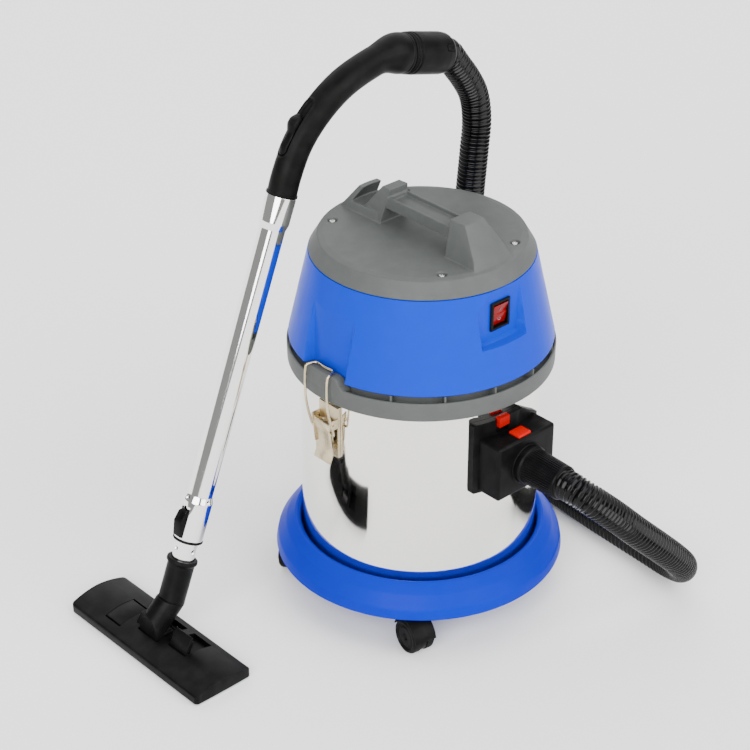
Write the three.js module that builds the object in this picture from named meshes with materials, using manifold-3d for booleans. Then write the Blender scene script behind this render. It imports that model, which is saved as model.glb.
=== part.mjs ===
// Canister shop vacuum: steel drum on a caster dolly, motor head, hose, telescopic wand and floor nozzle.
// Units are millimetres, +Z is up and the floor is z = 0. The inlet and the switch face -Y, the two
// latches sit on -X and +X, and the wand stands on the floor on the -X side.
import * as THREE from 'three';
import { mergeVertices } from 'three/addons/utils/BufferGeometryUtils.js';
import Module from 'manifold-3d';

const wasm = await Module();
wasm.setup();

// ---------------------------------------------------------------- driving dimensions
const GAP = 0.3; // clearance between pieces that touch
const SEG = 32; // sides of the large round parts

const DRUM = { r: 150, wall: 1.5, bottom: 62, top: 336, bead: 3 };
const DOLLY = { turn: -3.5, outer: 185, rim: 153, low: 48.5, crest: 90, wall: 3.5, floor: 58 };
const CASTER = { ring: 161, wheel: 22.5, wide: 32, trail: 17, aims: [20, -144, -100, 52] };
const RING = { r: 165.5, low: 324.5, rim: 348, seat: 356.7, neck: 160, deck: 341, deckWall: 4, eye: 20 };
const LUG = { half: 32, top: 362, out: 166.5, inner: 152 };
const SHELL = { low: 357, lowR: 164, top: 470, topR: 138.2, wall: 3 };
const PANEL = { x: -8, half: 34, y: 137, low: 404 };
const RECESS = { x: 151, half: 34 };
const CAP = { low: 470.4, lowR: 138.1, slope: 0.78, wall: 3 };
const SCREW = { x: 60, y: 95, head: 3.8, shank: 1.9, seat: 488.4 };
const HANDLE = { top: 535, barTop: 525, barLow: 509, half: 16, front: -66, rear: 44 };
const SWITCH = { x: -6, z: 437, wide: 26, high: 34 };
const GLAND = { x: 1, z: 445, r: 6, flange: 12, out: 10, long: 25 };
const INLET = {
  z: 249, half: 47.5, low: 213, high: 286, back: 158.5, face: 185, bore: 20.5, plateFace: 158,
};
const CUFF = { r: 23, neck: 19.6, start: 188, end: 246, bore: 16.5 };
const LATCH = { pivotZ: 290, pivotX: 160.5, leverLow: 236, half: 17, bailX: 166, bailZ: 279, bailTop: 364 };
const MOTOR = { r: 52, low: 384, high: 446, fanR: 66, fanLow: 349, fanHigh: 374, shaft: 4 };
const FILTER = { r: 66, low: 196, cage: 40, cageLow: 232, ball: 24 };
const HOSE = { r: 19, sides: 8, steps: 44 };

const LEAN = THREE.MathUtils.degToRad(21.5); // wand angle from vertical, towards +X
const WAND = { x: -309, y: 98, z: 110, r: 16, inner: 14.2, flare: 18.4, low: 28, high: 471, wall: 1.2 };
const BUTTON = { low: 31, high: 66, travel: 5 };
const NECK = { collar: 19.5, r: 17, long: 76 };
const ELBOW = { x: -355, z: 23, lean: 38, jointX: -331, jointZ: 57, jointLean: 30 };
const NOZZLE = { x: -353.5, y: 96, long: 256, wide: 85, lip: 13, crown: 25 };
const PEDAL = { y: 58, wide: 30, long: 46, x: -6 }; // the flush pedal, on the left
const TREAD = { x: -7.5, z: 21, y: -47, wide: 32, long: 25, thick: 3, rise: 62 }; // the raised one

const NOZZLE_LEFT = NOZZLE.x - NOZZLE.wide / 2;
const NOZZLE_BACK = NOZZLE.y + NOZZLE.long / 2;
const ORIGIN = { x: (NOZZLE_LEFT + DOLLY.outer) / 2, y: (NOZZLE_BACK - CUFF.end) / 2 };

// ---------------------------------------------------------------- materials
function paint(color, roughness, metalness = 0) {
  return new THREE.MeshStandardMaterial({ color, roughness, metalness });
}
const BLUE = paint(0x0562ea, 0.45);
const BLUE_HEAD = paint(0x0577f2, 0.45);
const GREY = paint(0x70767a, 0.6);
const STEEL = paint(0xe8e6e2, 0.08, 1);
const ZINC = paint(0xb9ab8d, 0.3, 1);
const BLACK = paint(0x1c1c1d, 0.55);
const RUBBER = paint(0x222222, 0.8);
const RED = paint(0xc21a17, 0.4);
const ORANGE = paint(0xf0390f, 0.45);
const CLOTH = paint(0xd8d6cd, 0.95);
const COPPER = paint(0x8f5a35, 0.5, 0.6);
const ALUMINIUM = paint(0xb8bcc0, 0.4, 1);

// ---------------------------------------------------------------- geometry helpers
function volume(geometry) {
  const p = geometry.attributes.position;
  const index = geometry.index.array;
  const [a, b, c] = [new THREE.Vector3(), new THREE.Vector3(), new THREE.Vector3()];
  let sum = 0;
  for (let i = 0; i < index.length; i += 3) {
    a.fromBufferAttribute(p, index[i]);
    b.fromBufferAttribute(p, index[i + 1]);
    c.fromBufferAttribute(p, index[i + 2]);
    sum += a.dot(b.cross(c)) / 6;
  }
  return sum;
}

// Shares the corner points, drops collapsed triangles and turns the faces outward.
function weld(source) {
  const geometry = source.clone();
  for (const name of Object.keys(geometry.attributes)) {
    if (name !== 'position') geometry.deleteAttribute(name);
  }
  const merged = mergeVertices(geometry, 1e-3);
  const old = merged.index.array;
  const kept = [];
  for (let i = 0; i < old.length; i += 3) {
    const [a, b, c] = [old[i], old[i + 1], old[i + 2]];
    if (a !== b && b !== c && c !== a) kept.push(a, b, c);
  }
  merged.setIndex(kept);
  if (volume(merged) < 0) {
    const flipped = [];
    for (let i = 0; i < kept.length; i += 3) flipped.push(kept[i], kept[i + 2], kept[i + 1]);
    merged.setIndex(flipped);
  }
  return merged;
}

function solid(source) {
  const geometry = weld(source);
  return new wasm.Manifold(
    new wasm.Mesh({
      numProp: 3,
      vertProperties: new Float32Array(geometry.attributes.position.array),
      triVerts: new Uint32Array(geometry.index.array),
    }),
  );
}

function unsolid(manifold) {
  const mesh = manifold.getMesh();
  const geometry = new THREE.BufferGeometry();
  geometry.setAttribute('position', new THREE.BufferAttribute(new Float32Array(mesh.vertProperties), 3));
  geometry.setIndex(new THREE.BufferAttribute(new Uint32Array(mesh.triVerts), 1));
  return geometry;
}

// Joins the geometries of `plus` and cuts those of `minus` from the result.
function carve(plus, minus = []) {
  let body = solid(plus[0]);
  for (const extra of plus.slice(1)) body = body.add(solid(extra));
  for (const cut of minus) body = body.subtract(solid(cut));
  return unsolid(body);
}

function common(a, b) {
  return unsolid(solid(a).intersect(solid(b)));
}

function box([x0, x1], [y0, y1], [z0, z1]) {
  const g = new THREE.BoxGeometry(x1 - x0, y1 - y0, z1 - z0);
  return g.translate((x0 + x1) / 2, (y0 + y1) / 2, (z0 + z1) / 2);
}

// Closed profile of [radius, z] points turned about Z.
function turned(points, segments = SEG) {
  const loop = points.map(([r, z]) => new THREE.Vector2(r, z));
  const onAxis = points[0][0] === 0 && points[points.length - 1][0] === 0;
  if (!onAxis) loop.push(loop[0].clone());
  return new THREE.LatheGeometry(loop, segments).rotateX(Math.PI / 2);
}

function disc(r, z0, z1, segments = 24) {
  return turned([[0, z0], [r, z0], [r, z1], [0, z1]], segments);
}

function ring(r0, r1, z0, z1, segments = SEG) {
  return turned([[r0, z0], [r1, z0], [r1, z1], [r0, z1]], segments);
}

// Lays a body turned about Z along Y.
const alongY = (geometry) => geometry.rotateX(-Math.PI / 2);

// Six-sided block between two rectangles, each [x half widths at y0 and y1, y0, y1, z].
function taper(low, high) {
  const corners = [];
  for (const [h0, h1, y0, y1, z] of [low, high]) {
    corners.push([-h0, y0, z], [h0, y0, z], [h1, y1, z], [-h1, y1, z]);
  }
  const quads = [[0, 3, 2, 1], [4, 5, 6, 7], [0, 1, 5, 4], [1, 2, 6, 5], [2, 3, 7, 6], [3, 0, 4, 7]];
  const geometry = new THREE.BufferGeometry();
  geometry.setAttribute('position', new THREE.Float32BufferAttribute(corners.flat(), 3));
  geometry.setIndex(quads.flatMap(([a, b, c, d]) => [a, b, c, a, c, d]));
  return geometry;
}

// Outline of [u, v] points, extruded by `depth` along +Z.
function slab(points, depth, holes = []) {
  const shape = new THREE.Shape(points.map(([u, v]) => new THREE.Vector2(u, v)));
  for (const hole of holes) shape.holes.push(hole);
  return new THREE.ExtrudeGeometry(shape, { depth, bevelEnabled: false, curveSegments: 6 });
}

// Bar swept along points, with a section of `sides` sides.
function swept(points, radius, sides, steps) {
  const section = new THREE.Shape();
  for (let i = 0; i < sides; i += 1) {
    const a = (2 * Math.PI * (i + 0.5)) / sides;
    section[i ? 'lineTo' : 'moveTo'](radius * Math.cos(a), radius * Math.sin(a));
  }
  section.closePath();
  const path = new THREE.CatmullRomCurve3(points.map((p) => new THREE.Vector3(...p)), false, 'centripetal');
  return new THREE.ExtrudeGeometry(section, { steps, extrudePath: path, bevelEnabled: false });
}

function addPart(group, name, geometry, material) {
  const mesh = new THREE.Mesh(weld(geometry), material);
  mesh.name = name;
  group.add(mesh);
  return mesh;
}

function nest(parent, { x = 0, y = 0, z = 0 } = {}, { axis = 'z', angle = 0 } = {}) {
  const group = new THREE.Group();
  group.position.set(x, y, z);
  group.rotation[axis] = angle;
  parent.add(group);
  return group;
}

const machine = new THREE.Group();
machine.name = 'shop_vacuum';
machine.position.set(-ORIGIN.x, -ORIGIN.y, 0);

// ---------------------------------------------------------------- dolly and casters
function casterPost(k) {
  const angle = THREE.MathUtils.degToRad(45 + 90 * k + DOLLY.turn);
  return { x: CASTER.ring * Math.cos(angle), y: CASTER.ring * Math.sin(angle) };
}

function buildDolly(parent) {
  const { outer, rim, low, crest, wall, floor } = DOLLY;
  const dish = turned([
    [0, floor - wall], [rim + wall, floor - wall], [rim + wall + 1, crest - 9], [outer - 18, 68],
    [outer - wall - 1, low], [outer, low], [outer - 3, 62], [outer - 14, 77], [rim + 6, crest],
    [rim, crest - 4], [rim, floor], [0, floor],
  ]);
  const bosses = [];
  const bores = [];
  for (let k = 0; k < 4; k += 1) {
    const { x, y } = casterPost(k);
    bosses.push(disc(9, 55, 78, 10).translate(x, y, 0));
    bores.push(disc(4.6, 50, 72, 8).translate(x, y, 0));
  }
  addPart(parent, 'dolly', carve([dish, ...bosses], bores), BLUE);
}

// One swivel caster: the hood turns on its stem, and the twin wheel turns in the hood.
function buildCaster(parent, k, aim) {
  const post = nest(parent, casterPost(k), { angle: THREE.MathUtils.degToRad(aim) });
  const { wheel, wide, trail } = CASTER;
  const arc = new THREE.Shape();
  arc.absarc(0, 0, wheel + 2.8, 0.15, Math.PI - 0.35, false);
  arc.absarc(0, 0, wheel + 1, Math.PI - 0.35, 0.15, true);
  const fender = new THREE.ExtrudeGeometry(arc, { depth: wide - 2, bevelEnabled: false, curveSegments: 5 });
  fender.rotateX(Math.PI / 2).translate(trail, wide / 2 - 1, wheel);
  const web = alongY(disc(wheel - 1, -4, 4, 12)).translate(trail, 0, wheel);
  const bridge = box([trail - 15, trail + 12], [-4, 4], [wheel + 10, wheel + 22]);
  const boss = disc(8, wheel + 22.5, 54.5, 8);
  const stem = disc(4, wheel + 23, 71, 8);
  const bore = alongY(disc(3.6, -8, 8, 10)).translate(trail, 0, wheel);
  addPart(post, `caster_hood_${k + 1}`, carve([web, fender, bridge, boss, stem], [bore]), BLACK);
  const side = wide / 2;
  const profile = [
    [0, -side], [wheel - 3, -side], [wheel, -side + 2.5], [wheel, -4.5], [3, -4.5],
    [3, 4.5], [wheel, 4.5], [wheel, side - 2.5], [wheel - 3, side], [0, side],
  ];
  const wheels = alongY(turned(profile, 16)).translate(trail, 0, wheel);
  addPart(post, `caster_wheels_${k + 1}`, wheels, RUBBER);
}

// ---------------------------------------------------------------- drum and inlet
function buildDrum(parent) {
  const { r, wall, bottom, top, bead } = DRUM;
  const can = turned([
    [0, bottom], [r - 4, bottom], [r, bottom + 4], [r, top - 4], [r + 1.5, top - bead], [r, top],
    [r - wall, top], [r - wall, bottom + 5], [r - 5, bottom + wall], [0, bottom + wall],
  ]);
  const hole = alongY(disc(INLET.bore + 2.5, 120, 170, 24)).rotateZ(Math.PI).translate(0, 0, INLET.z);
  addPart(parent, 'drum', carve([can], [hole]), STEEL);
}

function buildInlet(parent) {
  const { z, half, low, high, back, face, bore, plateFace } = INLET;
  const through = (r, y0, y1) => alongY(disc(r, y0, y1, 20)).rotateZ(Math.PI).translate(0, 0, z);
  // Saddle plate on the drum, with one corner cut off.
  const outline = [
    [-half - 7, low - 3], [half + 6, low - 3], [half + 6, high - 2], [half - 30, high + 21],
    [-half - 7, high + 21],
  ];
  const plate = slab(outline, plateFace - 118).rotateX(Math.PI / 2).translate(0, -118, 0);
  const drumRoom = disc(DRUM.r + GAP, 190, 330, SEG);
  const sealSeat = through(bore + 4, plateFace - 4, plateFace + 5);
  const pocket = box([-24, -6], [-plateFace - 1, -plateFace + 6], [high + 1.5, high + 30]);
  const plateCuts = [drumRoom, through(bore, 100, 170), sealSeat, pocket];
  addPart(parent, 'inlet_plate', carve([plate], plateCuts), BLACK);
  const across = [-24 + GAP, -6 - GAP];
  const button = box(across, [-plateFace - 3, -plateFace + 6 - GAP], [high + 6 + GAP, high + 24]);
  addPart(parent, 'plate_button', button, RED);
  const seal = ring(bore + GAP, bore + 4 - GAP, plateFace - 4 + GAP, plateFace, 20);
  addPart(parent, 'inlet_seal', alongY(seal).rotateZ(Math.PI).translate(0, 0, z), RUBBER);
  // Housing in front of the plate, hollow and open at its back.
  const shell = taper([half, half, -face, -back, low], [half, half, -face, -back, high]);
  const hollow = box([-half + 3, half - 3], [-face + 3, -back + 2], [low + 3, high - 3]);
  const window1 = box([-13, 13], [-face + 4, -back - 4], [high - 8, high + 5]);
  addPart(parent, 'inlet_housing', carve([shell], [hollow, window1, through(bore + 1.2, 170, 200)]), BLACK);
  const key = box([-13 + GAP, 13 - GAP], [-face + 4 + GAP, -back - 4 - GAP], [high - 8, high + 2.5]);
  addPart(parent, 'hose_button', key, ORANGE);
  // Elbow inside the drum that turns the flow down.
  const { r, wall } = DRUM;
  const mouth = slab([[-32, z - 42], [32, z - 42], [32, z + 26], [-32, z + 26]], 40)
    .rotateX(Math.PI / 2).translate(0, -(r - wall) + 38, 0);
  const inside = box([-29, 29], [-r - 5, -(r - wall) + 35], [z - 50, z + 23]);
  const trim = ring(r - wall - GAP, r + 60, z - 70, z + 60, SEG);
  addPart(parent, 'inlet_deflector', carve([mouth], [inside, trim]), BLACK);
}

function buildInletCuff(parent) {
  const { r, neck, start, end, bore } = CUFF;
  const profile = [
    [bore, start - 22], [neck - 0.4, start - 22], [neck - 0.4, start - 1], [r + 2, start - 1],
    [r + 2, start + 5], [r, start + 7], [r - 1.5, end], [bore, end],
  ];
  const cuff = alongY(turned(profile, 20)).rotateZ(Math.PI).translate(0, 0, INLET.z);
  addPart(parent, 'hose_cuff_inlet', cuff, BLACK);
}

// ---------------------------------------------------------------- latches
// Drawn with the drum wall at +X, then turned to either side of the machine.
function buildLatch(parent, side, angle) {
  const frame = nest(parent, {}, { angle });
  const { pivotZ, pivotX, leverLow, half, bailX, bailZ, bailTop } = LATCH;
  const drumRoom = disc(DRUM.r + GAP, 180, 330, SEG);
  const base = box([130, DRUM.r + 3.5], [-half, half], [leverLow + 6, pivotZ + 22]);
  const ears = [-1, 1].map((s) => box([148, pivotX + 5], s > 0 ? [half - 2, half] : [-half, 2 - half],
    [pivotZ - 5.5, pivotZ + 8]));
  const pinHole = alongY(disc(2.7, -30, 30, 8)).translate(pivotX, 0, pivotZ);
  addPart(frame, `latch_plate_${side}`, carve([base, ...ears], [drumRoom, pinHole]), ZINC);
  const inner = half - 2 - GAP;
  const blade = taper([3.2, 3.2, -inner, inner, leverLow], [3.2, 3.2, -inner, inner, pivotZ - 4])
    .translate(pivotX + 1, 0, 0);
  const pin = alongY(disc(2.2, -half - 2, half + 2, 8)).translate(pivotX, 0, pivotZ);
  const knuckle = alongY(disc(5, -inner, inner, 10)).translate(pivotX, 0, pivotZ);
  const bailHole = alongY(disc(2.1, -30, 30, 8)).translate(bailX - 4, 0, bailZ);
  const cheek = box([pivotX, bailX - 1], [-inner, inner], [bailZ - 5, bailZ + 5]);
  addPart(frame, `latch_lever_${side}`, carve([blade, cheek, knuckle, pin], [bailHole]), ZINC);
  const reach = half + 2.5;
  const wire = 1.6;
  const hookX = 158;
  const points = [
    [bailX - 4, inner - 8, bailZ], [bailX - 4, inner, bailZ], [bailX - 4, reach - 0.6, bailZ],
    [bailX - 3.4, reach, bailZ + 2], [171.5, reach, bailZ + 40], [171.5, reach, bailTop - 6],
    [169.8, reach, bailTop], [hookX + 7, reach - 1, bailTop + 1.2], [hookX, reach - 4, bailTop + 1.2],
    [hookX, 0, bailTop + 1.2],
  ];
  const mirrored = points.slice(0, -1).reverse().map(([x, y, z]) => [x, -y, z]);
  addPart(frame, `latch_bail_${side}`, swept([...points, ...mirrored], wire, 5, 28), ZINC);
}

// ---------------------------------------------------------------- head
function coneAt(z, offset = 0) {
  const { low, lowR, top, topR } = SHELL;
  return lowR + ((z - low) * (topR - lowR)) / (top - low) - offset;
}

function buildHeadRing(parent) {
  const { r, low, rim, seat, neck, deck, deckWall, eye } = RING;
  const body = turned([
    [eye, deck], [DRUM.r + 3, deck], [DRUM.r + 3, low], [r, low], [r + 0.5, rim],
    [neck, rim], [neck, seat], [neck - 4, seat], [neck - 4, deck + deckWall], [eye, deck + deckWall],
  ]);
  const lugs = [1, -1].map((s) => {
    const x = s > 0 ? [LUG.inner, LUG.out] : [-LUG.out, -LUG.inner];
    return box(x, [-LUG.half, LUG.half], [low + 8, LUG.top]);
  });
  const ribs = [];
  for (let k = 0; k < 8; k += 1) {
    const rib = box([neck - 1, r - 1], [-1, 1], [rim - 2, seat]);
    ribs.push(rib.rotateZ(((k + 0.5) * Math.PI) / 4));
  }
  const drumRoom = disc(DRUM.r + 3, low - 10, deck, SEG);
  const airHole = disc(eye, deck - 5, deck + 20, 24);
  addPart(parent, 'head_ring', carve([body, ...lugs, ...ribs], [drumRoom, airHole]), GREY);
  addPart(parent, 'head_gasket', ring(DRUM.r - 8, DRUM.r + 2.4, DRUM.top + GAP, deck - GAP), RUBBER);
}

// Stands a solid turned about +Z square on the rear of the sloping shell, with z = 0 on its surface.
function glandPlace(solid) {
  const slope = Math.atan2(SHELL.lowR - SHELL.topR, SHELL.top - SHELL.low);
  return alongY(solid).rotateX(slope).translate(GLAND.x, coneAt(GLAND.z), GLAND.z);
}

function buildHeadShell(parent) {
  const { low, top, wall } = SHELL;
  const outer = turned([[0, low], [coneAt(low), low], [coneAt(top), top], [0, top]]);
  const room = [[0, low - 1], [coneAt(low, wall), low - 1], [coneAt(top, wall), top + 1], [0, top + 1]];
  const panel = (grow) => box([PANEL.x - PANEL.half - grow, PANEL.x + PANEL.half + grow],
    [-200, -PANEL.y + grow], [PANEL.low - grow, top + 5]);
  const sides = (grow) => [1, -1].map((s) => {
    const x = s > 0 ? [RECESS.x - grow, 200] : [-200, -RECESS.x + grow];
    return box(x, [-RECESS.half - grow, RECESS.half + grow], [low - 5, LUG.top + 60]);
  });
  const slots = [1, -1].map((s) => {
    const x = s > 0 ? [RECESS.x - 12, 200] : [-200, -RECESS.x + 12];
    return box(x, [-RECESS.half + 1, RECESS.half - 1], [low - 5, LUG.top + GAP]);
  });
  const core = carve([turned(room)], [panel(wall), ...sides(wall)]);
  const hole = box([SWITCH.x - 11, SWITCH.x + 11], [-160, -100], [SWITCH.z - 15, SWITCH.z + 15]);
  const cordHole = glandPlace(disc(GLAND.r + GAP + 0.1, -20, 15, 16));
  const cuts = [panel(0), ...sides(0), core, ...slots, hole, cordHole];
  addPart(parent, 'head_shell', carve([outer], cuts), BLUE_HEAD);
}

function skirtAt(z) {
  return CAP.lowR - (z - CAP.low) * CAP.slope;
}

function buildCap(parent) {
  const { low, lowR, wall } = CAP;
  const dome = turned([
    [0, low + 8], [lowR - 12, low + 8], [lowR - 5, low], [lowR, low], [lowR - 9, 483], [lowR - 15, 489],
    [lowR - 23, 491], [60, 490], [0, 488.5],
  ]);
  const hollow = turned([
    [0, low - 5], [lowR - 8, low - 5], [lowR - 13, low + 9], [lowR - 22, 491 - wall], [60, 490 - wall],
    [0, 488.5 - wall],
  ]);
  const skirt = turned([[0, 472], [skirtAt(472), 472], [skirtAt(HANDLE.top), HANDLE.top], [0, HANDLE.top]]);
  const front = common(taper([42, 31, -150, -68, 474], [15, 16, -150, -64, HANDLE.top]), skirt);
  const rear = taper([24, 17, 52, 99, 484], [15, 14, 42, 56, HANDLE.top]);
  const rearBase = common(taper([25, 31, 50, 150, 480], [20, 24, 58, 150, 501]), skirt);
  const finBlock = taper([30, 30, 84, 150, 476], [15, 15, 84, 150, 522]);
  const finCore = turned([[0, 480], [skirtAt(480) - 9, 480], [skirtAt(530) - 9, 530], [0, 530]]);
  const fin = carve([common(finBlock, skirt)], [finCore]);
  const barLength = [HANDLE.front - 3, HANDLE.rear + 6];
  const bar = box([-HANDLE.half, HANDLE.half], barLength, [HANDLE.barLow, HANDLE.barTop]);
  const pockets = [];
  for (const [sx, sy] of [[-1, -1], [1, -1], [1, 1], [-1, 1]]) {
    const at = [sx * SCREW.x, sy * SCREW.y, 0];
    pockets.push(disc(SCREW.head + 1, SCREW.seat, 500, 8).translate(...at));
    pockets.push(disc(SCREW.shank + 0.5, 470, 500, 8).translate(...at));
  }
  addPart(parent, 'top_cap', carve([dome, front, rear, rearBase, fin, bar], [hollow, ...pockets]), GREY);
  [[-1, -1], [1, -1], [1, 1], [-1, 1]].forEach(([sx, sy], i) => {
    const screw = turned([
      [0, SCREW.seat - 8], [SCREW.shank, SCREW.seat - 8], [SCREW.shank, SCREW.seat + GAP],
      [SCREW.head, SCREW.seat + GAP], [SCREW.head - 0.6, SCREW.seat + 2.4], [0, SCREW.seat + 2.6],
    ], 8);
    addPart(parent, `cap_screw_${i + 1}`, screw.translate(sx * SCREW.x, sy * SCREW.y, 0), ALUMINIUM);
  });
}

function buildSwitch(parent) {
  const { x, z, wide, high } = SWITCH;
  const y = -PANEL.y;
  const frame = box([x - wide / 2, x + wide / 2], [y - 3.3, y - GAP], [z - high / 2, z + high / 2]);
  const body = box([x - 10.5, x + 10.5], [y - 2, y + 18], [z - 14.5, z + 14.5]);
  const room = box([x - 8, x + 8], [y - 10, y + 12], [z - 13, z + 13]);
  addPart(parent, 'switch_bezel', carve([frame, body], [room]), BLACK);
  const rocker = slab([[-5, -8], [1.2, -10.5], [3.4, 0], [6, 10.5], [-5, 8]], 15)
    .rotateX(Math.PI / 2).rotateZ(-Math.PI / 2).translate(x + 7.5, y + 2, z);
  addPart(parent, 'switch_rocker', rocker, RED);
  const { r, flange, out, long } = GLAND;
  const gland = turned([
    [0, -8], [r, -8], [r, 1], [flange, 1], [flange, 3], [out, 4], [out - 0.6, long], [0, long],
  ], 16);
  addPart(parent, 'cord_gland', glandPlace(gland), BLACK);
}

function buildMotor(parent) {
  const { r, low, high, fanR, fanLow, fanHigh, shaft } = MOTOR;
  const frame = turned([
    [shaft + 1, low], [r + 8, low], [r + 8, low + 3], [r, low + 6], [r - 4, high], [shaft + 1, high],
    [shaft + 1, high - 4], [r - 8, high - 5], [r - 4, low + 8], [r - 6, low + 4], [shaft + 1, low + 4],
  ], 16);
  const vents = [];
  for (let k = 0; k < 4; k += 1) {
    vents.push(box([r - 12, r + 6], [-9, 9], [low + 16, high - 10]).rotateZ(((k + 0.5) * Math.PI) / 2));
  }
  addPart(parent, 'motor_housing', carve([frame], vents), ALUMINIUM);
  const cover = turned([
    [30, fanLow - 3.7], [fanR + 4, fanLow - 3.7], [fanR + 4, fanHigh + 8], [shaft + 1, fanHigh + 8],
    [shaft + 1, fanHigh + 5], [fanR + 2, fanHigh + 5], [fanR + 2, fanLow - 1.5], [30, fanLow - 1.5],
  ], 16);
  const exhaust = [];
  for (let k = 0; k < 4; k += 1) {
    exhaust.push(box([fanR - 2, fanR + 8], [-12, 12], [fanLow + 2, fanHigh - 2]).rotateZ((k * Math.PI) / 2));
  }
  addPart(parent, 'fan_cover', carve([cover], exhaust), ALUMINIUM);
  const armature = turned([
    [0, fanLow + 1], [shaft, fanLow + 1], [shaft, low + 12], [24, low + 14], [24, high - 22],
    [14, high - 20], [14, high - 9], [shaft, high - 8], [shaft, high + 8], [0, high + 8],
  ], 12);
  addPart(parent, 'armature', armature, COPPER);
  const hub = turned([[shaft + GAP, fanLow + 2], [9, fanLow + 2], [9, fanHigh - 3], [fanR - 5, fanHigh - 3],
    [fanR - 5, fanHigh - 1], [shaft + GAP, fanHigh - 1]], 16);
  const blades = [];
  for (let k = 0; k < 6; k += 1) {
    const blade = box([6, fanR - 8], [-1, 1], [fanLow + 3, fanHigh - 2]).rotateZ((k * Math.PI) / 3);
    blades.push(blade);
  }
  const eyeRoom = disc(shaft + GAP, fanLow, fanHigh, 12);
  addPart(parent, 'impeller', carve([hub, ...blades], [eyeRoom]), ALUMINIUM);
  const fanHub = ring(shaft + GAP, 8, high + 1, high + 7, 12);
  const paddles = [0, 1, 2, 3, 4, 5].map((k) => box([6, 34], [-1, 1], [high + 1, high + 7])
    .rotateZ((k * Math.PI) / 3));
  const fanBore = disc(shaft + GAP, high, high + 9, 12);
  addPart(parent, 'cooling_fan', carve([fanHub, ...paddles], [fanBore]), BLACK);
}

function buildFilter(parent) {
  const { r, low, cage, cageLow, ball } = FILTER;
  const top = RING.deck - GAP;
  const sock = turned([[cage + 8, top], [r, top], [r, low + 12], [r - 12, low], [0, low], [0, low + 4],
    [r - 14, low + 4], [r - 4, low + 14], [r - 4, top - 4], [cage + 8, top - 4]].reverse(), 20);
  addPart(parent, 'filter', sock, CLOTH);
  const basket = turned([[cage - 3, top], [cage + 5, top], [cage + 5, top - 3], [cage, top - 3],
    [cage, cageLow], [0, cageLow], [0, cageLow + 3], [cage - 3, cageLow + 3]].reverse(), 14);
  const slots = [];
  for (let k = 0; k < 4; k += 1) {
    slots.push(box([0, 60], [-11, 11], [cageLow + 12, top - 14]).rotateZ(((k + 0.5) * Math.PI) / 2));
  }
  addPart(parent, 'float_cage', carve([basket], slots), BLACK);
  const float = new THREE.SphereGeometry(ball, 12, 8).rotateX(Math.PI / 2);
  addPart(parent, 'float_ball', float.translate(0, 0, cageLow + 3.3 + ball), BLUE);
}

// ---------------------------------------------------------------- hose
const HOSE_ROUTE = [
  [0, -246.4, 249], [0, -262, 249], [8, -281, 240], [34, -295, 214], [68, -302, 179], [110, -303, 138],
  [150, -299, 99], [184, -289, 64], [208, -268, 36], [221, -238, 22], [226, -200, 19.3], [229, -150, 19.3],
  [233, -92, 19.3], [239, -36, 19.3], [243, 12, 24], [243, 58, 46], [238, 98, 88], [228, 124, 145],
  [215, 134, 210], [203, 131, 275], [193, 121, 340], [186, 109, 400], [182, 101, 455], [184, 98, 508],
  [187, 98, 548], [180.5, 98, 584], [165, 98, 611], [149.5, 98, 631], [140.5, 98, 643], [133, 98, 652.2],
  [127.6, 98, 654],
];

function buildHose(parent) {
  addPart(parent, 'hose', swept(HOSE_ROUTE, HOSE.r, HOSE.sides, HOSE.steps), BLACK);
}

// ---------------------------------------------------------------- wand
function buildWand(parent) {
  const tilt = nest(parent, WAND, { axis: 'y', angle: LEAN });
  const { r, inner, flare, low, high, wall } = WAND;
  addPart(tilt, 'inner_tube', ring(inner - wall, inner, -20, 400, 16), STEEL);
  const sleeve = turned([
    [inner + GAP, low], [flare, low], [flare, low + 50], [r, low + 60], [r, high - 44], [flare, high - 36],
    [flare, high], [flare - wall, high], [flare - wall, high - 36], [r - wall, high - 42],
    [r - wall, low + 58], [inner + GAP, low + 50],
  ], 16);
  const keyhole = box([-40, -10], [-7.3, 7.3], [BUTTON.low - GAP, BUTTON.high + BUTTON.travel + GAP]);
  addPart(tilt, 'outer_tube', carve([sleeve], [keyhole]), STEEL);
  addPart(tilt, 'tube_end_ring', ring(inner + 0.6, flare + 0.6, low - 3.4, low - GAP, 16), RUBBER);
  const key = slab([[-inner - 0.9, BUTTON.low], [-inner - 0.9, BUTTON.high], [-flare - 3, BUTTON.high - 3],
    [-flare - 7, BUTTON.high - 16], [-flare - 2, BUTTON.low]], 14).rotateX(Math.PI / 2).translate(0, 7, 0);
  addPart(tilt, 'tube_button', key, BLACK);
  const neck = turned([
    [inner + GAP, 0], [NECK.collar, 0], [NECK.collar, -6], [NECK.r, -8], [NECK.r, -NECK.long],
    [NECK.r - 4, -NECK.long], [inner - 1, -24], [inner + GAP, -22],
  ], 16);
  neck.rotateY(LEAN).translate(WAND.x, WAND.y, WAND.z);
  addPart(parent, 'neck', carve([neck], [jointSide(-1)]), BLACK);
}

// Half space on one side of the slanted joint between neck and elbow, with half the clearance.
function jointSide(side) {
  const size = 120;
  const half = box([-size, size], [-size, size], side > 0 ? [-GAP / 2, size] : [-size, GAP / 2]);
  const lean = THREE.MathUtils.degToRad(ELBOW.jointLean);
  return half.rotateY(lean).translate(ELBOW.jointX, WAND.y, ELBOW.jointZ);
}

function wandPoint(along) {
  return [WAND.x + along * Math.sin(LEAN), WAND.y, WAND.z + along * Math.cos(LEAN)];
}

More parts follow.
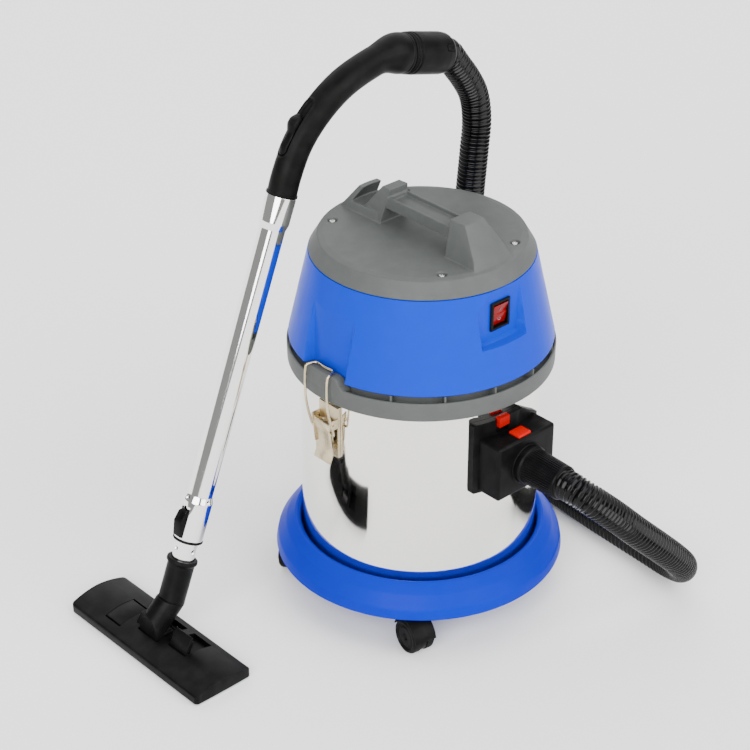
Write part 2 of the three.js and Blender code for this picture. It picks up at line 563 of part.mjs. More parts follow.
const GRIP_CURVE = [
  wandPoint(471.5), [-127.5, 98, 572], [-109, 98, 606.5], [-79, 98, 637], [-42, 98, 660], [-2, 98, 672.5],
  [26, 98, 677], [44, 98, 676.1], [57.4, 98, 672.7],
];
const SLIDER = { x: -98.3, z: 616.9, lean: THREE.MathUtils.degToRad(42.5) };
const CUFF_AXIS = { from: [58.4, 98, 672.6], turn: THREE.MathUtils.degToRad(90 + 15), long: 70, r: 26 };

// Block in the slider's own frame: across the grip, along the slot, and outward from the grip's axis.
function slider(across, along, out) {
  const block = box([-out[1], -out[0]], across, along);
  return block.rotateY(SLIDER.lean).translate(SLIDER.x, WAND.y, SLIDER.z);
}

function buildGrip(parent) {
  const handle = swept(GRIP_CURVE, 18, 12, 14);
  const [x, y, z] = wandPoint(440);
  const spigot = ring(13, 16.8, 0, 36, 16).rotateY(LEAN).translate(x, y, z);
  const bore = swept([wandPoint(430), ...GRIP_CURVE.slice(1), [80, 98, 666.8]], 13, 8, 14);
  const slot = slider([-8, 8], [-34, 35], [13.8, 30]);
  const socket = turned([[12, -34], [17, -34], [25, -14], [25, -0.2], [12, -0.2]], 20);
  socket.rotateY(CUFF_AXIS.turn).translate(...CUFF_AXIS.from);
  addPart(parent, 'grip', carve([handle, spigot, socket], [bore, slot]), BLACK);
  const key = slider([-7.4, 7.4], [-33.5, 12], [14.2, 21]);
  addPart(parent, 'grip_slider', key, BLACK);
  const { r, long } = CUFF_AXIS;
  const cuff = turned([
    [14, 0.4], [r - 1, 0.4], [r, 6], [r, 58], [r - 3, long], [14, long],
  ], 20);
  cuff.rotateY(CUFF_AXIS.turn).translate(...CUFF_AXIS.from);
  addPart(parent, 'hose_cuff_grip', cuff, BLACK);
}

// ---------------------------------------------------------------- floor nozzle
function buildNozzle(parent) {
  const head = nest(parent, NOZZLE);
  head.position.z = 0;
  const { long, wide, lip, crown } = NOZZLE;
  const [w, l] = [wide / 2, long / 2];
  const section = [
    [-w, 3.3], [w, 3.3], [w, lip], [w - 14, crown - 3], [0, crown], [-w + 14, crown - 3], [-w, lip],
  ];
  const cover = slab(section, long).rotateX(Math.PI / 2).translate(0, l, 0);
  const well = box([-25, 36], [-25, 29], [6, 40]);
  const pedalRoom = box([PEDAL.x - PEDAL.long / 2, PEDAL.x + PEDAL.long / 2],
    [PEDAL.y - PEDAL.wide / 2, PEDAL.y + PEDAL.wide / 2], [11, 40]);
  const treadHalf = TREAD.wide / 2;
  const treadRoom = box([TREAD.x - 2, TREAD.x + TREAD.long + 15],
    [TREAD.y - treadHalf - 1, TREAD.y + treadHalf + 1], [11, 40]);
  const channel = box([-w + 6, w - 6], [-l + 8, l - 8], [2, 8]);
  addPart(head, 'nozzle_top', carve([cover], [well, pedalRoom, treadRoom, channel]), BLACK);
  const sole = box([-w + 0.6, w - 0.6], [-l + 0.6, l - 0.6], [0.6, 3]);
  const mouth = box([-9, 9], [-l + 22, l - 22], [-1, 5]);
  const brushSlots = [-1, 1].map((s) => box([s * 27 - 4, s * 27 + 4], [-l + 12, l - 12], [-1, 5]));
  const runners = [-1, 1].map((s) => box([s * 16 - 3, s * 16 + 3], [-l + 14, l - 14], [0, 1]));
  addPart(head, 'nozzle_sole', carve([sole, ...runners], [mouth, ...brushSlots]), ALUMINIUM);
  [['front', -1], ['rear', 1]].forEach(([name, s]) => {
    const strip = box([s * 27 - 3.4, s * 27 + 3.4], [-l + 13, l - 13], [0.4, 4.6]);
    addPart(head, `brush_${name}`, strip, RUBBER);
  });
  const half = PEDAL.long / 2 - 0.5;
  const [inner, outer] = [PEDAL.y - PEDAL.wide / 2 + 0.5, PEDAL.y + PEDAL.wide / 2 - 0.5];
  const pad = box([PEDAL.x - half, PEDAL.x + half], [inner, outer], [20, 24]);
  addPart(head, 'pedal_left', pad, BLACK);
  const tread = box([0, TREAD.long], [-treadHalf, treadHalf], [-TREAD.thick, 0]);
  tread.rotateY(THREE.MathUtils.degToRad(-TREAD.rise)).translate(TREAD.x, TREAD.y, TREAD.z);
  addPart(head, 'pedal_right', tread, BLACK);
}

// The elbow turns on the slanted joint under the neck, and its knuckle is the nozzle's tilt hinge.
function buildElbow(parent) {
  const lean = THREE.MathUtils.degToRad(ELBOW.lean);
  const place = (geometry) => geometry.rotateY(lean).translate(ELBOW.x, WAND.y, ELBOW.z);
  const knuckle = alongY(disc(12, -24, 24, 20)).translate(ELBOW.x, WAND.y, ELBOW.z);
  const throat = place(taper([15, 15, -23, 23, 0], [17, 17, -16.5, 16.5, 60]));
  const bore = place(disc(12, 12, 70, 12));
  addPart(parent, 'elbow', carve([knuckle, throat], [bore, jointSide(1)]), BLACK);
}

// ---------------------------------------------------------------- assembly
buildDolly(machine);
CASTER.aims.forEach((aim, k) => buildCaster(machine, k, aim));
buildDrum(machine);
buildInlet(machine);
buildInletCuff(machine);
buildLatch(machine, 'left', Math.PI);
buildLatch(machine, 'right', 0);
buildHeadRing(machine);
buildHeadShell(machine);
buildCap(machine);
buildSwitch(machine);
buildMotor(machine);
buildFilter(machine);
buildHose(machine);
buildWand(machine);
buildGrip(machine);
buildNozzle(machine);
buildElbow(machine);

export default machine;
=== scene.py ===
"""Looks of the shop vacuum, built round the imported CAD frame.

Lengths below are millimetres in the machine's own frame (drum axis at x = y = 0, floor at z = 0),
and are turned into metres of the row frame by `P` or `finish_mesh`. The wand stands on the -X side.
"""
import math

import bmesh
import bpy
import numpy as np
from mathutils import Matrix, Vector


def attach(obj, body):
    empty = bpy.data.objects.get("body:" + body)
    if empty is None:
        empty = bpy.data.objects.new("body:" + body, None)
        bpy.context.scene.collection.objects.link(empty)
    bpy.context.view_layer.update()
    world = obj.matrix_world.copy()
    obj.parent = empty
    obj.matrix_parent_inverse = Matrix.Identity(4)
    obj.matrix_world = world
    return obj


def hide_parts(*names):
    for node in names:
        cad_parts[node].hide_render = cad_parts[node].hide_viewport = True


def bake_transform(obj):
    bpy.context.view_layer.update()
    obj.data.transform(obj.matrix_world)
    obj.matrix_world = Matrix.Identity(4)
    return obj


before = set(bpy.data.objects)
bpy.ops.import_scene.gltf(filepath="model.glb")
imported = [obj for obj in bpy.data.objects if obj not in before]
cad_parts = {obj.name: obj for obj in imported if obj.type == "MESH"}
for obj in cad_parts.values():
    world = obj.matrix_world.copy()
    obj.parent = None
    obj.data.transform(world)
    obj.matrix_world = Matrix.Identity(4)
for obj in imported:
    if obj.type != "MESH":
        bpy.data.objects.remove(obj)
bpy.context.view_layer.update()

OFFSET = Vector((105.5, 11.0, 0.0))
MM = 0.001
INLET_Z = 249.0
LEAN = math.radians(21.5)
WAND = Vector((-309.0, 98.0, 110.0))
NOZZLE = Vector((-353.5, 96.0, 0.0))
HOSE_R = 19.0


# ------------------------------------------------------------------ mesh helpers
def P(x, y, z):
    """Machine millimetres to metres of the row frame."""
    return (Vector((x, y, z)) + OFFSET) * MM


def finish_mesh(name, verts, faces, angle=35.0, place=None):
    """Mesh object from vertices in machine millimetres, smooth with sharp edges above `angle`."""
    if place is not None:
        verts = [tuple(place @ Vector(v)) for v in verts]
    mesh = bpy.data.meshes.new(name)
    metres = (np.asarray(verts, float) + np.array(OFFSET)) * MM
    mesh.from_pydata(metres.tolist(), [], faces)
    mesh.update()
    obj = bpy.data.objects.new(name.replace(" ", "_"), mesh)
    bpy.context.scene.collection.objects.link(obj)
    recalc(obj)
    soften(obj, angle)
    return obj


def recalc(obj):
    """Merges doubled points and turns all faces outward."""
    bm = bmesh.new()
    bm.from_mesh(obj.data)
    bmesh.ops.remove_doubles(bm, verts=bm.verts, dist=1e-6)
    bmesh.ops.recalc_face_normals(bm, faces=bm.faces)
    bm.to_mesh(obj.data)
    bm.free()


def soften(obj, angle=35.0):
    """Smooth shading with sharp edges above `angle`."""
    mesh = obj.data
    mesh.polygons.foreach_set("use_smooth", [True] * len(mesh.polygons))
    mesh.set_sharp_from_angle(angle=math.radians(angle))
    mesh.update()


def apply_modifiers(obj):
    depsgraph = bpy.context.evaluated_depsgraph_get()
    fresh = bpy.data.meshes.new_from_object(obj.evaluated_get(depsgraph))
    obj.modifiers.clear()
    old = obj.data
    obj.data = fresh
    bpy.data.meshes.remove(old)


def remove(obj):
    bpy.data.objects.remove(obj, do_unlink=True)


def cut(obj, *tools, operation="DIFFERENCE"):
    """Booleans each tool into the body in turn."""
    for tool in tools:
        mod = obj.modifiers.new("cut", "BOOLEAN")
        mod.operation = operation
        mod.solver = "EXACT"
        mod.object = tool
        apply_modifiers(obj)
        remove(tool)
    soften(obj)
    return obj


def join(obj, *others):
    """Puts the other meshes into this one without merging their surfaces."""
    bm = bmesh.new()
    bm.from_mesh(obj.data)
    for other in others:
        bm.from_mesh(other.data)
        remove(other)
    bm.to_mesh(obj.data)
    bm.free()
    soften(obj)
    return obj


def bevel(obj, width, segments=3, angle=35.0):
    mod = obj.modifiers.new("bevel", "BEVEL")
    mod.width = width * MM
    mod.segments = segments
    mod.limit_method = "ANGLE"
    mod.angle_limit = math.radians(angle)
    mod.harden_normals = False
    apply_modifiers(obj)
    soften(obj, 40.0)
    return obj


def fillet(points, radii, steps=6):
    """Closed outline of (r, z) points with its corners rounded by `radii`."""
    out = []
    n = len(points)
    for i, (point, radius) in enumerate(zip(points, radii)):
        p = Vector(point)
        a = Vector(points[i - 1]) - p
        b = Vector(points[(i + 1) % n]) - p
        if radius <= 0 or a.length < 1e-6 or b.length < 1e-6:
            out.append(tuple(p))
            continue
        half = a.angle(b) / 2
        if half > math.radians(89.5):
            out.append(tuple(p))
            continue
        reach = min(radius / math.tan(half), a.length * 0.49, b.length * 0.49)
        radius = reach * math.tan(half)
        start, end = p + a.normalized() * reach, p + b.normalized() * reach
        centre = p + (a.normalized() + b.normalized()).normalized() * (radius / math.sin(half))
        u, v = start - centre, end - centre
        total = u.angle(v)
        for k in range(steps + 1):
            t = k / steps
            w = (u * math.sin((1 - t) * total) + v * math.sin(t * total)) / math.sin(total)
            out.append(tuple(centre + w))
    return out


def lathe(name, outline, segments, place=None):
    """Closed (r, z) outline turned about Z; points at r = 0 close onto the axis."""
    verts, faces, rings = [], [], []
    for r, z in outline:
        if r < 1e-6:
            rings.append([len(verts)] * segments)
            verts.append((0.0, 0.0, z))
        else:
            rings.append(list(range(len(verts), len(verts) + segments)))
            for k in range(segments):
                a = 2 * math.pi * k / segments
                verts.append((r * math.cos(a), r * math.sin(a), z))
    n = len(rings)
    for i in range(n):
        a, b = rings[i], rings[(i + 1) % n]
        for k in range(segments):
            m = (k + 1) % segments
            face = []
            for v in (a[k], a[m], b[m], b[k]):
                if v not in face:
                    face.append(v)
            if len(face) > 2:
                faces.append(face)
    return finish_mesh(name, verts, faces, place=place)


def rod(name, radius, z0, z1, segments, place=None):
    """Plain cylinder about Z."""
    return lathe(name, [(0, z0), (radius, z0), (radius, z1), (0, z1)], segments, place)


def ring_faces(rows, around, closed=True):
    """Quads between rows of points that run round a body; `closed` joins the last row to the first."""
    faces = []
    for i in range(rows if closed else rows - 1):
        for k in range(around):
            a, b = i * around + k, i * around + (k + 1) % around
            c, d = ((i + 1) % rows) * around + (k + 1) % around, ((i + 1) % rows) * around + k
            faces.append((a, b, c, d))
    return faces


def between(name, low, high, place, round_edges, segments):
    """Body between two outlines with equally many points, its sharp edges rounded if asked."""
    n = len(low)
    faces = [tuple(range(n - 1, -1, -1)), tuple(range(n, 2 * n)), *ring_faces(2, n, closed=False)]
    obj = finish_mesh(name, [*low, *high], faces, place=place)
    return bevel(obj, round_edges, segments) if round_edges else obj


def prism(name, outline, y0, y1, place=None, round_edges=0.0, segments=3):
    """Outline of (x, z) points, extruded along Y."""
    low, high = ([(x, y, z) for x, z in outline] for y in (y0, y1))
    return between(name, low, high, place, round_edges, segments)


def slab(name, outline, z0, z1, place=None, round_edges=0.0, segments=3):
    """Outline of (x, y) points, extruded along Z."""
    low, high = ([(x, y, z) for x, y in outline] for z in (z0, z1))
    return between(name, low, high, place, round_edges, segments)


def block(name, x, y, z, place=None, round_edges=0.0, segments=3):
    """Box between pairs of x, y and z limits."""
    outline = [(x[0], y[0]), (x[1], y[0]), (x[1], y[1]), (x[0], y[1])]
    return slab(name, outline, *z, place, round_edges, segments)


def wedge(name, low, high):
    """Body between two level quads, each (x half width at y0, x half width at y1, y0, y1, z)."""
    ends = [[(-h0, y0, z), (h0, y0, z), (h1, y1, z), (-h1, y1, z)] for h0, h1, y0, y1, z in (low, high)]
    return between(name, *ends, None, 0.0, 0)


def catmull(points, step=1.0):
    """Centripetal Catmull-Rom through the points, resampled evenly; gives points and arc lengths."""
    pts = [np.array(p, float) for p in points]
    pts = [2 * pts[0] - pts[1], *pts, 2 * pts[-1] - pts[-2]]
    dense = []
    for i in range(1, len(pts) - 2):
        p0, p1, p2, p3 = pts[i - 1:i + 3]
        t0 = 0.0
        t1 = t0 + np.linalg.norm(p1 - p0) ** 0.5
        t2 = t1 + np.linalg.norm(p2 - p1) ** 0.5
        t3 = t2 + np.linalg.norm(p3 - p2) ** 0.5
        for t in np.linspace(t1, t2, 40, endpoint=False):
            a1 = (t1 - t) / (t1 - t0) * p0 + (t - t0) / (t1 - t0) * p1
            a2 = (t2 - t) / (t2 - t1) * p1 + (t - t1) / (t2 - t1) * p2
            a3 = (t3 - t) / (t3 - t2) * p2 + (t - t2) / (t3 - t2) * p3
            b1 = (t2 - t) / (t2 - t0) * a1 + (t - t0) / (t2 - t0) * a2
            b2 = (t3 - t) / (t3 - t1) * a2 + (t - t1) / (t3 - t1) * a3
            dense.append((t2 - t) / (t2 - t1) * b1 + (t - t1) / (t2 - t1) * b2)
    dense.append(pts[-2])
    dense = np.array(dense)
    arc = np.concatenate([[0], np.cumsum(np.linalg.norm(np.diff(dense, axis=0), axis=1))])
    count = max(2, int(round(arc[-1] / step)) + 1)
    even = np.linspace(0, arc[-1], count)
    line = np.stack([np.interp(even, arc, dense[:, k]) for k in range(3)], axis=1)
    return line, even


def frames(line, first_side):
    """Twist-free pair of side vectors along a line, square to its smoothed direction."""
    tangents = np.gradient(line, axis=0)
    span = min(8, len(line) // 3)
    padded = np.pad(tangents, ((span, span), (0, 0)), mode="edge")
    kernel = np.hanning(2 * span + 3)[1:-1]
    tangents = np.stack([np.convolve(padded[:, k], kernel, mode="valid") for k in range(3)], axis=1)
    tangents /= np.linalg.norm(tangents, axis=1)[:, None]
    side = np.array(first_side, float)
    us, vs = [], []
    for t in tangents:
        side = side - t * side.dot(t)
        side /= np.linalg.norm(side)
        us.append(side.copy())
        vs.append(np.cross(t, side))
    return np.array(us), np.array(vs)


def sweep(name, line, radius, sides=32, first_side=(0, 1, 0), hollow=None, angle=60.0):
    """Tube along a line with radius(i, theta); with `hollow`, an inner wall of that radius."""
    us, vs = frames(line, first_side)
    n = len(line)
    verts = []
    thetas = np.linspace(0, 2 * math.pi, sides, endpoint=False)
    for i in range(n):
        for t in thetas:
            r = radius(i, t)
            verts.append(line[i] + r * (math.cos(t) * us[i] + math.sin(t) * vs[i]))
    if hollow:
        for i in range(n - 1, -1, -1):
            for t in thetas:
                verts.append(line[i] + hollow * (math.cos(t) * us[i] + math.sin(t) * vs[i]))
    rows = len(verts) // sides
    faces = ring_faces(rows, sides, closed=bool(hollow))
    if not hollow:
        faces.append(tuple(range(sides - 1, -1, -1)))
        faces.append(tuple((rows - 1) * sides + k for k in range(sides)))
    return finish_mesh(name, verts, faces, angle)


def mould(obj, voxel, smooth):
    """Remeshes a joined body finely and smooths it, so that its edges come out as moulded radii."""
    mod = obj.modifiers.new("remesh", "REMESH")
    mod.mode = "VOXEL"
    mod.voxel_size = voxel * MM
    mod.adaptivity = 0.0
    mod.use_smooth_shade = True
    relax = obj.modifiers.new("smooth", "SMOOTH")
    relax.factor = 0.5
    relax.iterations = smooth
    apply_modifiers(obj)
    soften(obj, 80.0)
    return obj


def turn_to(direction, at):
    """Matrix taking +Z to `direction` with its origin at `at`."""
    turned = Vector(direction).to_track_quat("Z", "Y")
    return Matrix.Translation(at) @ turned.to_matrix().to_4x4()


def smoothstep(a, b, t):
    """Eases from 0 at a to 1 at b."""
    t = min(1.0, max(0.0, (t - a) / (b - a)))
    return t * t * (3 - 2 * t)


# ------------------------------------------------------------------ materials
def material(name, color, rough, metal=0.0, grain=0.0, grain_size=900.0, wave=0.0, wave_size=60.0,
             mottle=0.0, coat=0.0, spec=0.5, streak=(1, 1, 1), dust=0.0):
    """Surface with fine moulded grain, slow waviness, uneven roughness and faint dust."""
    mat = bpy.data.materials.new(name)
    mat.use_nodes = True
    tree = mat.node_tree

    def fill(node, values):
        """Sets a node's inputs, where a socket is linked and anything else is a value."""
        for key, value in values.items():
            if isinstance(value, bpy.types.NodeSocket):
                tree.links.new(value, node.inputs[key])
            else:
                node.inputs[key].default_value = value
        return node

    def add(kind, values):
        return fill(tree.nodes.new("ShaderNode" + kind), values)

    def noise(size, detail):
        values = {"Vector": mapping.outputs["Vector"], "Scale": size, "Detail": detail}
        return add("TexNoise", values).outputs["Fac"]

    bsdf = tree.nodes["Principled BSDF"]
    fill(bsdf, {"Base Color": (*color, 1), "Roughness": rough, "Metallic": metal,
                "Specular IOR Level": spec})
    if coat:
        fill(bsdf, {"Coat Weight": coat, "Coat Roughness": 0.12})
    mapping = add("Mapping", {"Vector": add("TexCoord", {}).outputs["Object"], "Scale": streak})
    normal = {}
    for strength, size, distance in ((wave, wave_size, 0.0008), (grain, grain_size, 0.00012)):
        if strength:
            bump = add("Bump", {"Strength": strength, "Distance": distance,
                                "Height": noise(size, 2.0), **normal})
            normal = {"Normal": bump.outputs["Normal"]}
    fill(bsdf, normal)
    if mottle:
        spread = add("MapRange", {"Value": noise(24.0, 5.0), "From Min": 0.3, "From Max": 0.7,
                                  "To Min": max(0.02, rough - mottle), "To Max": rough + mottle})
        fill(bsdf, {"Roughness": spread.outputs["Result"]})
    if dust:
        spots = add("MapRange", {"Value": noise(55.0, 6.0), "From Min": 0.42, "From Max": 0.75})
        dusty = [min(1.0, c * (1 + dust) + 0.01 * dust) for c in color]
        mix = tree.nodes.new("ShaderNodeMix")
        mix.data_type = "RGBA"
        fill(mix, {"Factor": spots.outputs["Result"], "A": (*color, 1), "B": (*dusty, 1)})
        fill(bsdf, {"Base Color": mix.outputs["Result"]})
    return mat


BLUE = material("dolly blue", (0.0, 0.012, 0.34), 0.36, grain=0.10, grain_size=700, wave=0.05, mottle=0.05,
                spec=0.04, dust=0.03)
BLUE_HEAD = material("head blue", (0.0, 0.027, 0.42), 0.32, grain=0.08, grain_size=700, wave=0.06,
                     mottle=0.04, spec=0.04, dust=0.03)
GREY = material("grey", (0.066, 0.071, 0.068), 0.5, grain=0.35, grain_size=1300, mottle=0.05, spec=0.12,
                dust=0.10)
STEEL = material("steel", (0.86, 0.845, 0.81), 0.055, metal=1.0, wave=0.02, wave_size=9, mottle=0.02,
                 streak=(1, 1, 0.2))
CHROME = material("chrome", (0.88, 0.875, 0.86), 0.05, metal=1.0, grain=0.03, grain_size=300, mottle=0.02)
ZINC = material("zinc", (0.50, 0.42, 0.28), 0.26, metal=1.0, grain=0.25, grain_size=500, mottle=0.1,
                dust=0.3)
SCREW = material("screw", (0.5, 0.5, 0.48), 0.3, metal=1.0, grain=0.2, mottle=0.08)
BLACK = material("black", (0.0024, 0.0024, 0.0025), 0.36, grain=0.25, grain_size=1100, mottle=0.07,
                 spec=0.06, dust=0.3)
BLACK_SOFT = material("grip black", (0.0024, 0.0024, 0.0023), 0.40, grain=0.45, grain_size=1400, mottle=0.07,
                      spec=0.06, dust=0.3)
HOSE_BLACK = material("hose", (0.0010, 0.0010, 0.0011), 0.16, mottle=0.03, spec=0.16)
RUBBER = material("rubber", (0.0035, 0.0035, 0.0035), 0.6, grain=0.5, grain_size=900, mottle=0.1,
                  spec=0.08, dust=0.5)
RED = material("red", (0.15, 0.0012, 0.0015), 0.2, grain=0.05, mottle=0.03, coat=0.03, spec=0.12)
ORANGE = material("orange", (0.40, 0.001, 0.0002), 0.32, grain=0.12, mottle=0.04, spec=0.05)
RED_PLAIN = material("plate key red", (0.24, 0.001, 0.0005), 0.35, grain=0.15, mottle=0.05, spec=0.05)
ALU = material("aluminium", (0.6, 0.61, 0.62), 0.35, metal=1.0, grain=0.3, grain_size=300, mottle=0.1)
CLOTH = material("filter cloth", (0.42, 0.40, 0.35), 0.9, grain=1.0, grain_size=500, spec=0.1, dust=0.2)
COPPER = material("winding", (0.30, 0.11, 0.05), 0.35, metal=0.6, grain=0.6, grain_size=200,
                  streak=(6, 6, 1))
MARK = material("switch mark", (0.16, 0.12, 0.12), 0.4, grain=0.05)


def piece(obj, body, mat, slot, *nodes):
    """Gives a look its material, the body it rides on and the nodes it stands for; `slot` is not used."""
    obj.name = (nodes[0] + "_look") if nodes else obj.name
    obj.data.materials.clear()
    obj.data.materials.append(mat)
    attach(obj, body)
    if nodes:
        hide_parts(*nodes)
    return obj


# ------------------------------------------------------------------ camera
# lens and place were fitted to the photograph's ellipses
cam_data = bpy.data.cameras.new("camera")
cam = bpy.data.objects.new("camera", cam_data)
bpy.context.scene.collection.objects.link(cam)
cam_data.lens = 100.4
cam_data.sensor_width = 36.0
cam.matrix_world = Matrix((
    (0.73678, 0.34590, -0.58098, -1.4491),
    (-0.67615, 0.37692, -0.63308, -1.5988),
    (0.0, 0.85926, 0.51158, 1.6224),
    (0, 0, 0, 1),
))
bpy.context.scene.camera = cam

# ------------------------------------------------------------------ hose
ROUTE = [
    (0, -246.4, 249), (0, -262, 249), (8, -281, 240), (34, -295, 214), (68, -302, 179),
    (110, -303, 138), (150, -299, 99), (184, -289, 64), (208, -268, 36), (221, -238, 22),
    (226, -200, 19.3), (229, -150, 19.3), (233, -92, 19.3), (239, -36, 19.3), (243, 12, 24),
    (243, 58, 46), (238, 98, 88), (228, 124, 145), (215, 134, 210), (203, 131, 275),
    (193, 121, 340), (186, 109, 400), (182, 101, 455), (184, 98, 508), (187, 98, 548),
    (180.5, 98, 584), (165, 98, 611), (149.5, 98, 631), (140.5, 98, 643), (133, 98, 652.2), (127.6, 98, 654),
]
HOSE_STEP = 0.55
RELAXED_PITCH, STRETCHED_PITCH, RIDGE_DEPTH = 5.25, 7.25, 2.3

line, arc = catmull(ROUTE, step=HOSE_STEP)


def pitch(along):
    """Ridge spacing: stretched between the inlet and the floor, relaxed behind the drum."""
    stretched = smoothstep(30, 160, along) * (1 - smoothstep(470, 640, along))
    return RELAXED_PITCH + (STRETCHED_PITCH - RELAXED_PITCH) * stretched


phase = np.cumsum([HOSE_STEP / pitch(along) for along in arc])


def ridge(i, _):
    """Radius of the corrugated hose at sample i, the same all round."""
    wave = 0.5 + 0.5 * math.cos(2 * math.pi * phase[i])
    return HOSE_R - RIDGE_DEPTH * (1 - wave ** 0.55)


hose = sweep("corrugated hose", line, ridge, sides=48, first_side=(0, 0, 1), angle=75)
hose.data.materials.append(HOSE_BLACK)
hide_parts("hose")
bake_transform(hose)

# ------------------------------------------------------------------ dolly
CASTER_CIRCLE, CASTER_START = 161.0, 41.5


def caster_axis(k):
    """Swivel axis of the k-th caster."""
    a = math.radians(CASTER_START + 90 * k)
    return Matrix.Translation((CASTER_CIRCLE * math.cos(a), CASTER_CIRCLE * math.sin(a), 0))


DOLLY_OUT = fillet(
    [(0, 54.5), (156, 54.5), (157, 81), (167, 69), (180, 48.6), (185, 48.6), (182.4, 62), (171.5, 77.5),
     (159, 90), (153, 86.5), (153, 58), (0, 58)],
    [0, 3, 2, 5, 0, 1.2, 12, 16, 3.2, 2.5, 2, 0], steps=8)
SOCKET = fillet([(4.7, 54.8), (9, 54.8), (9, 79), (4.7, 79)], [0, 1, 0, 0])
dolly = lathe("dolly shell", DOLLY_OUT, segments=200)
join(dolly, *[lathe("boss", SOCKET, 32, caster_axis(k)) for k in range(4)])
piece(dolly, "tank", BLUE, "dolly_blue", "dolly")

# ------------------------------------------------------------------ casters
CASTER_AIMS = (20, -144, -100, 52)
WHEEL_R, WHEEL_WIDE, TRAIL = 22.5, 32.0, 17.0


def wheel_arc(clearance):
    """Arc over the wheel, from its trailing side to its leading side."""
    angles = [0.1 + (math.pi - 0.4) * i / 24 for i in range(25)]
    r = WHEEL_R + clearance
    return [(TRAIL + r * math.cos(t), WHEEL_R + r * math.sin(t)) for t in angles]


def caster_hood(swivel, hub):
    """Mudguard over both wheels, the web between them, and the post that turns in the dolly."""
    half = WHEEL_WIDE / 2 - 1
    hood = prism("hood", wheel_arc(3.0) + wheel_arc(1.1)[::-1], -half, half, swivel, 0.7, 2)
    disc = [(3.8, -3.8), (WHEEL_R - 1, -3.8), (WHEEL_R - 1, 3.8), (3.8, 3.8)]
    web = lathe("web", fillet(disc, [0, 0.5, 0.5, 0]), 48, hub)
    bridge = block("bridge", (TRAIL - 15, TRAIL + 10), (-4, 4), (WHEEL_R + 8, WHEEL_R + 22), swivel, 1.0)
    post = [(0, WHEEL_R + 20), (8.4, WHEEL_R + 20), (8.4, 54.4), (4, 54.4), (4, 70), (0, 70)]
    boss = lathe("boss", fillet(post, [0, 0, 1, 0, 1, 0]), 40, swivel)
    return join(hood, web, bridge, boss)


def twin_wheel(hub):
    """Two dished wheels on one hub: half an outline, mirrored."""
    side = WHEEL_WIDE / 2
    rim = [(0, side - 3.4), (4.2, side - 3.4), (4.8, side - 1.6), (12.5, side - 1.2), (14.5, side - 3.0),
           (16.8, side - 3.0), (17.8, side - 0.6), (20.0, side), (WHEEL_R, side - 3.2), (WHEEL_R, 4.6),
           (3, 4.6), (3, 0)]
    half = fillet(rim, [0, 0.6, 0.6, 1, 0.8, 0.8, 0.6, 1.6, 2.6, 0.6, 0, 0], 4)[:-1]
    return lathe("twin wheel", half + [(r, -z) for r, z in reversed(half)], 96, hub)


for k, aim in enumerate(CASTER_AIMS):
    swivel = caster_axis(k) @ Matrix.Rotation(math.radians(aim), 4, "Z")
    hub = swivel @ Matrix.Translation((TRAIL, 0, WHEEL_R)) @ Matrix.Rotation(-math.pi / 2, 4, "X")
    hood = caster_hood(swivel, hub)
    piece(hood, f"caster_{k + 1}", BLACK, "black_plastic", f"caster_hood_{k + 1}")
    piece(twin_wheel(hub), f"wheels_{k + 1}", RUBBER, "black_rubber", f"caster_wheels_{k + 1}")

# ------------------------------------------------------------------ drum
TO_FRONT = Matrix.Translation((0, 0, INLET_Z)) @ Matrix.Rotation(math.pi / 2, 4, "X")
DRUM_OUT = fillet(
    [(0, 62), (150, 62), (150, 329), (151.5, 332.5), (151.5, 336), (148.5, 336), (148.5, 68), (140, 64),
     (0, 64)],
    [0, 5, 1, 1.5, 1, 1, 3, 3, 0], steps=6)
drum = lathe("drum", DRUM_OUT, segments=240)
cut(drum, rod("hole", 23, 120, 170, 64, TO_FRONT))
soften(drum, 30)
piece(drum, "tank", STEEL, "polished_steel", "drum")

# ------------------------------------------------------------------ inlet
PLATE_R, PLATE_SEAT_R = 158.0, 150.3
PLATE_OUT = [(-54.5, 210), (53.5, 210), (53.5, 284), (17.5, 307), (-54.5, 307)]

plate = prism("saddle plate", PLATE_OUT, -PLATE_R, -118, None, 2.2, 4)
cut(plate, rod("outer face", PLATE_R, 190, 330, 200), operation="INTERSECT")
cut(plate,
    rod("room", PLATE_SEAT_R, 190, 330, 200),
    rod("bore", 20.5, 100, 170, 64, TO_FRONT),
    block("pocket", (-24.4, -5.6), (-159, -152), (287.5, 316)))
piece(plate, "tank", BLACK, "black_plastic", "inlet_plate")
key = block("plate key", (-23.7, -6.3), (-161.2, -152.3), (296.2, 309.6), None, 1.6, 4)
piece(key, "plate_key", RED_PLAIN, "red_plastic", "plate_button")
housing = block("inlet housing", (-47.5, 47.5), (-185, -140), (213, 286), None, 3.6, 5)
cut(housing,
    block("hollow", (-44.5, 44.5), (-182, -135), (216, 283)),
    rod("saddle", PLATE_R + 0.3, 190, 330, 200),
    block("window", (-11.2, 11.2), (-181.3, -162.3), (278, 292)),
    rod("bore", 21.7, 170, 200, 96, TO_FRONT))
piece(housing, "tank", BLACK, "black_plastic", "inlet_housing")
COLLAR_OUT = fillet([(21.75, 182), (26.5, 182), (26.5, 187.2), (21.75, 187.2)], [0, 0, 1, 1])
collar = lathe("collar", COLLAR_OUT, 96, TO_FRONT)
piece(collar, "tank", BLACK, "black_plastic")
hose_key = block("hose key", (-10.6, 10.6), (-180.7, -162.9), (278, 288.6), None, 1.6, 4)
piece(hose_key, "hose_key", ORANGE, "orange_plastic", "hose_button")


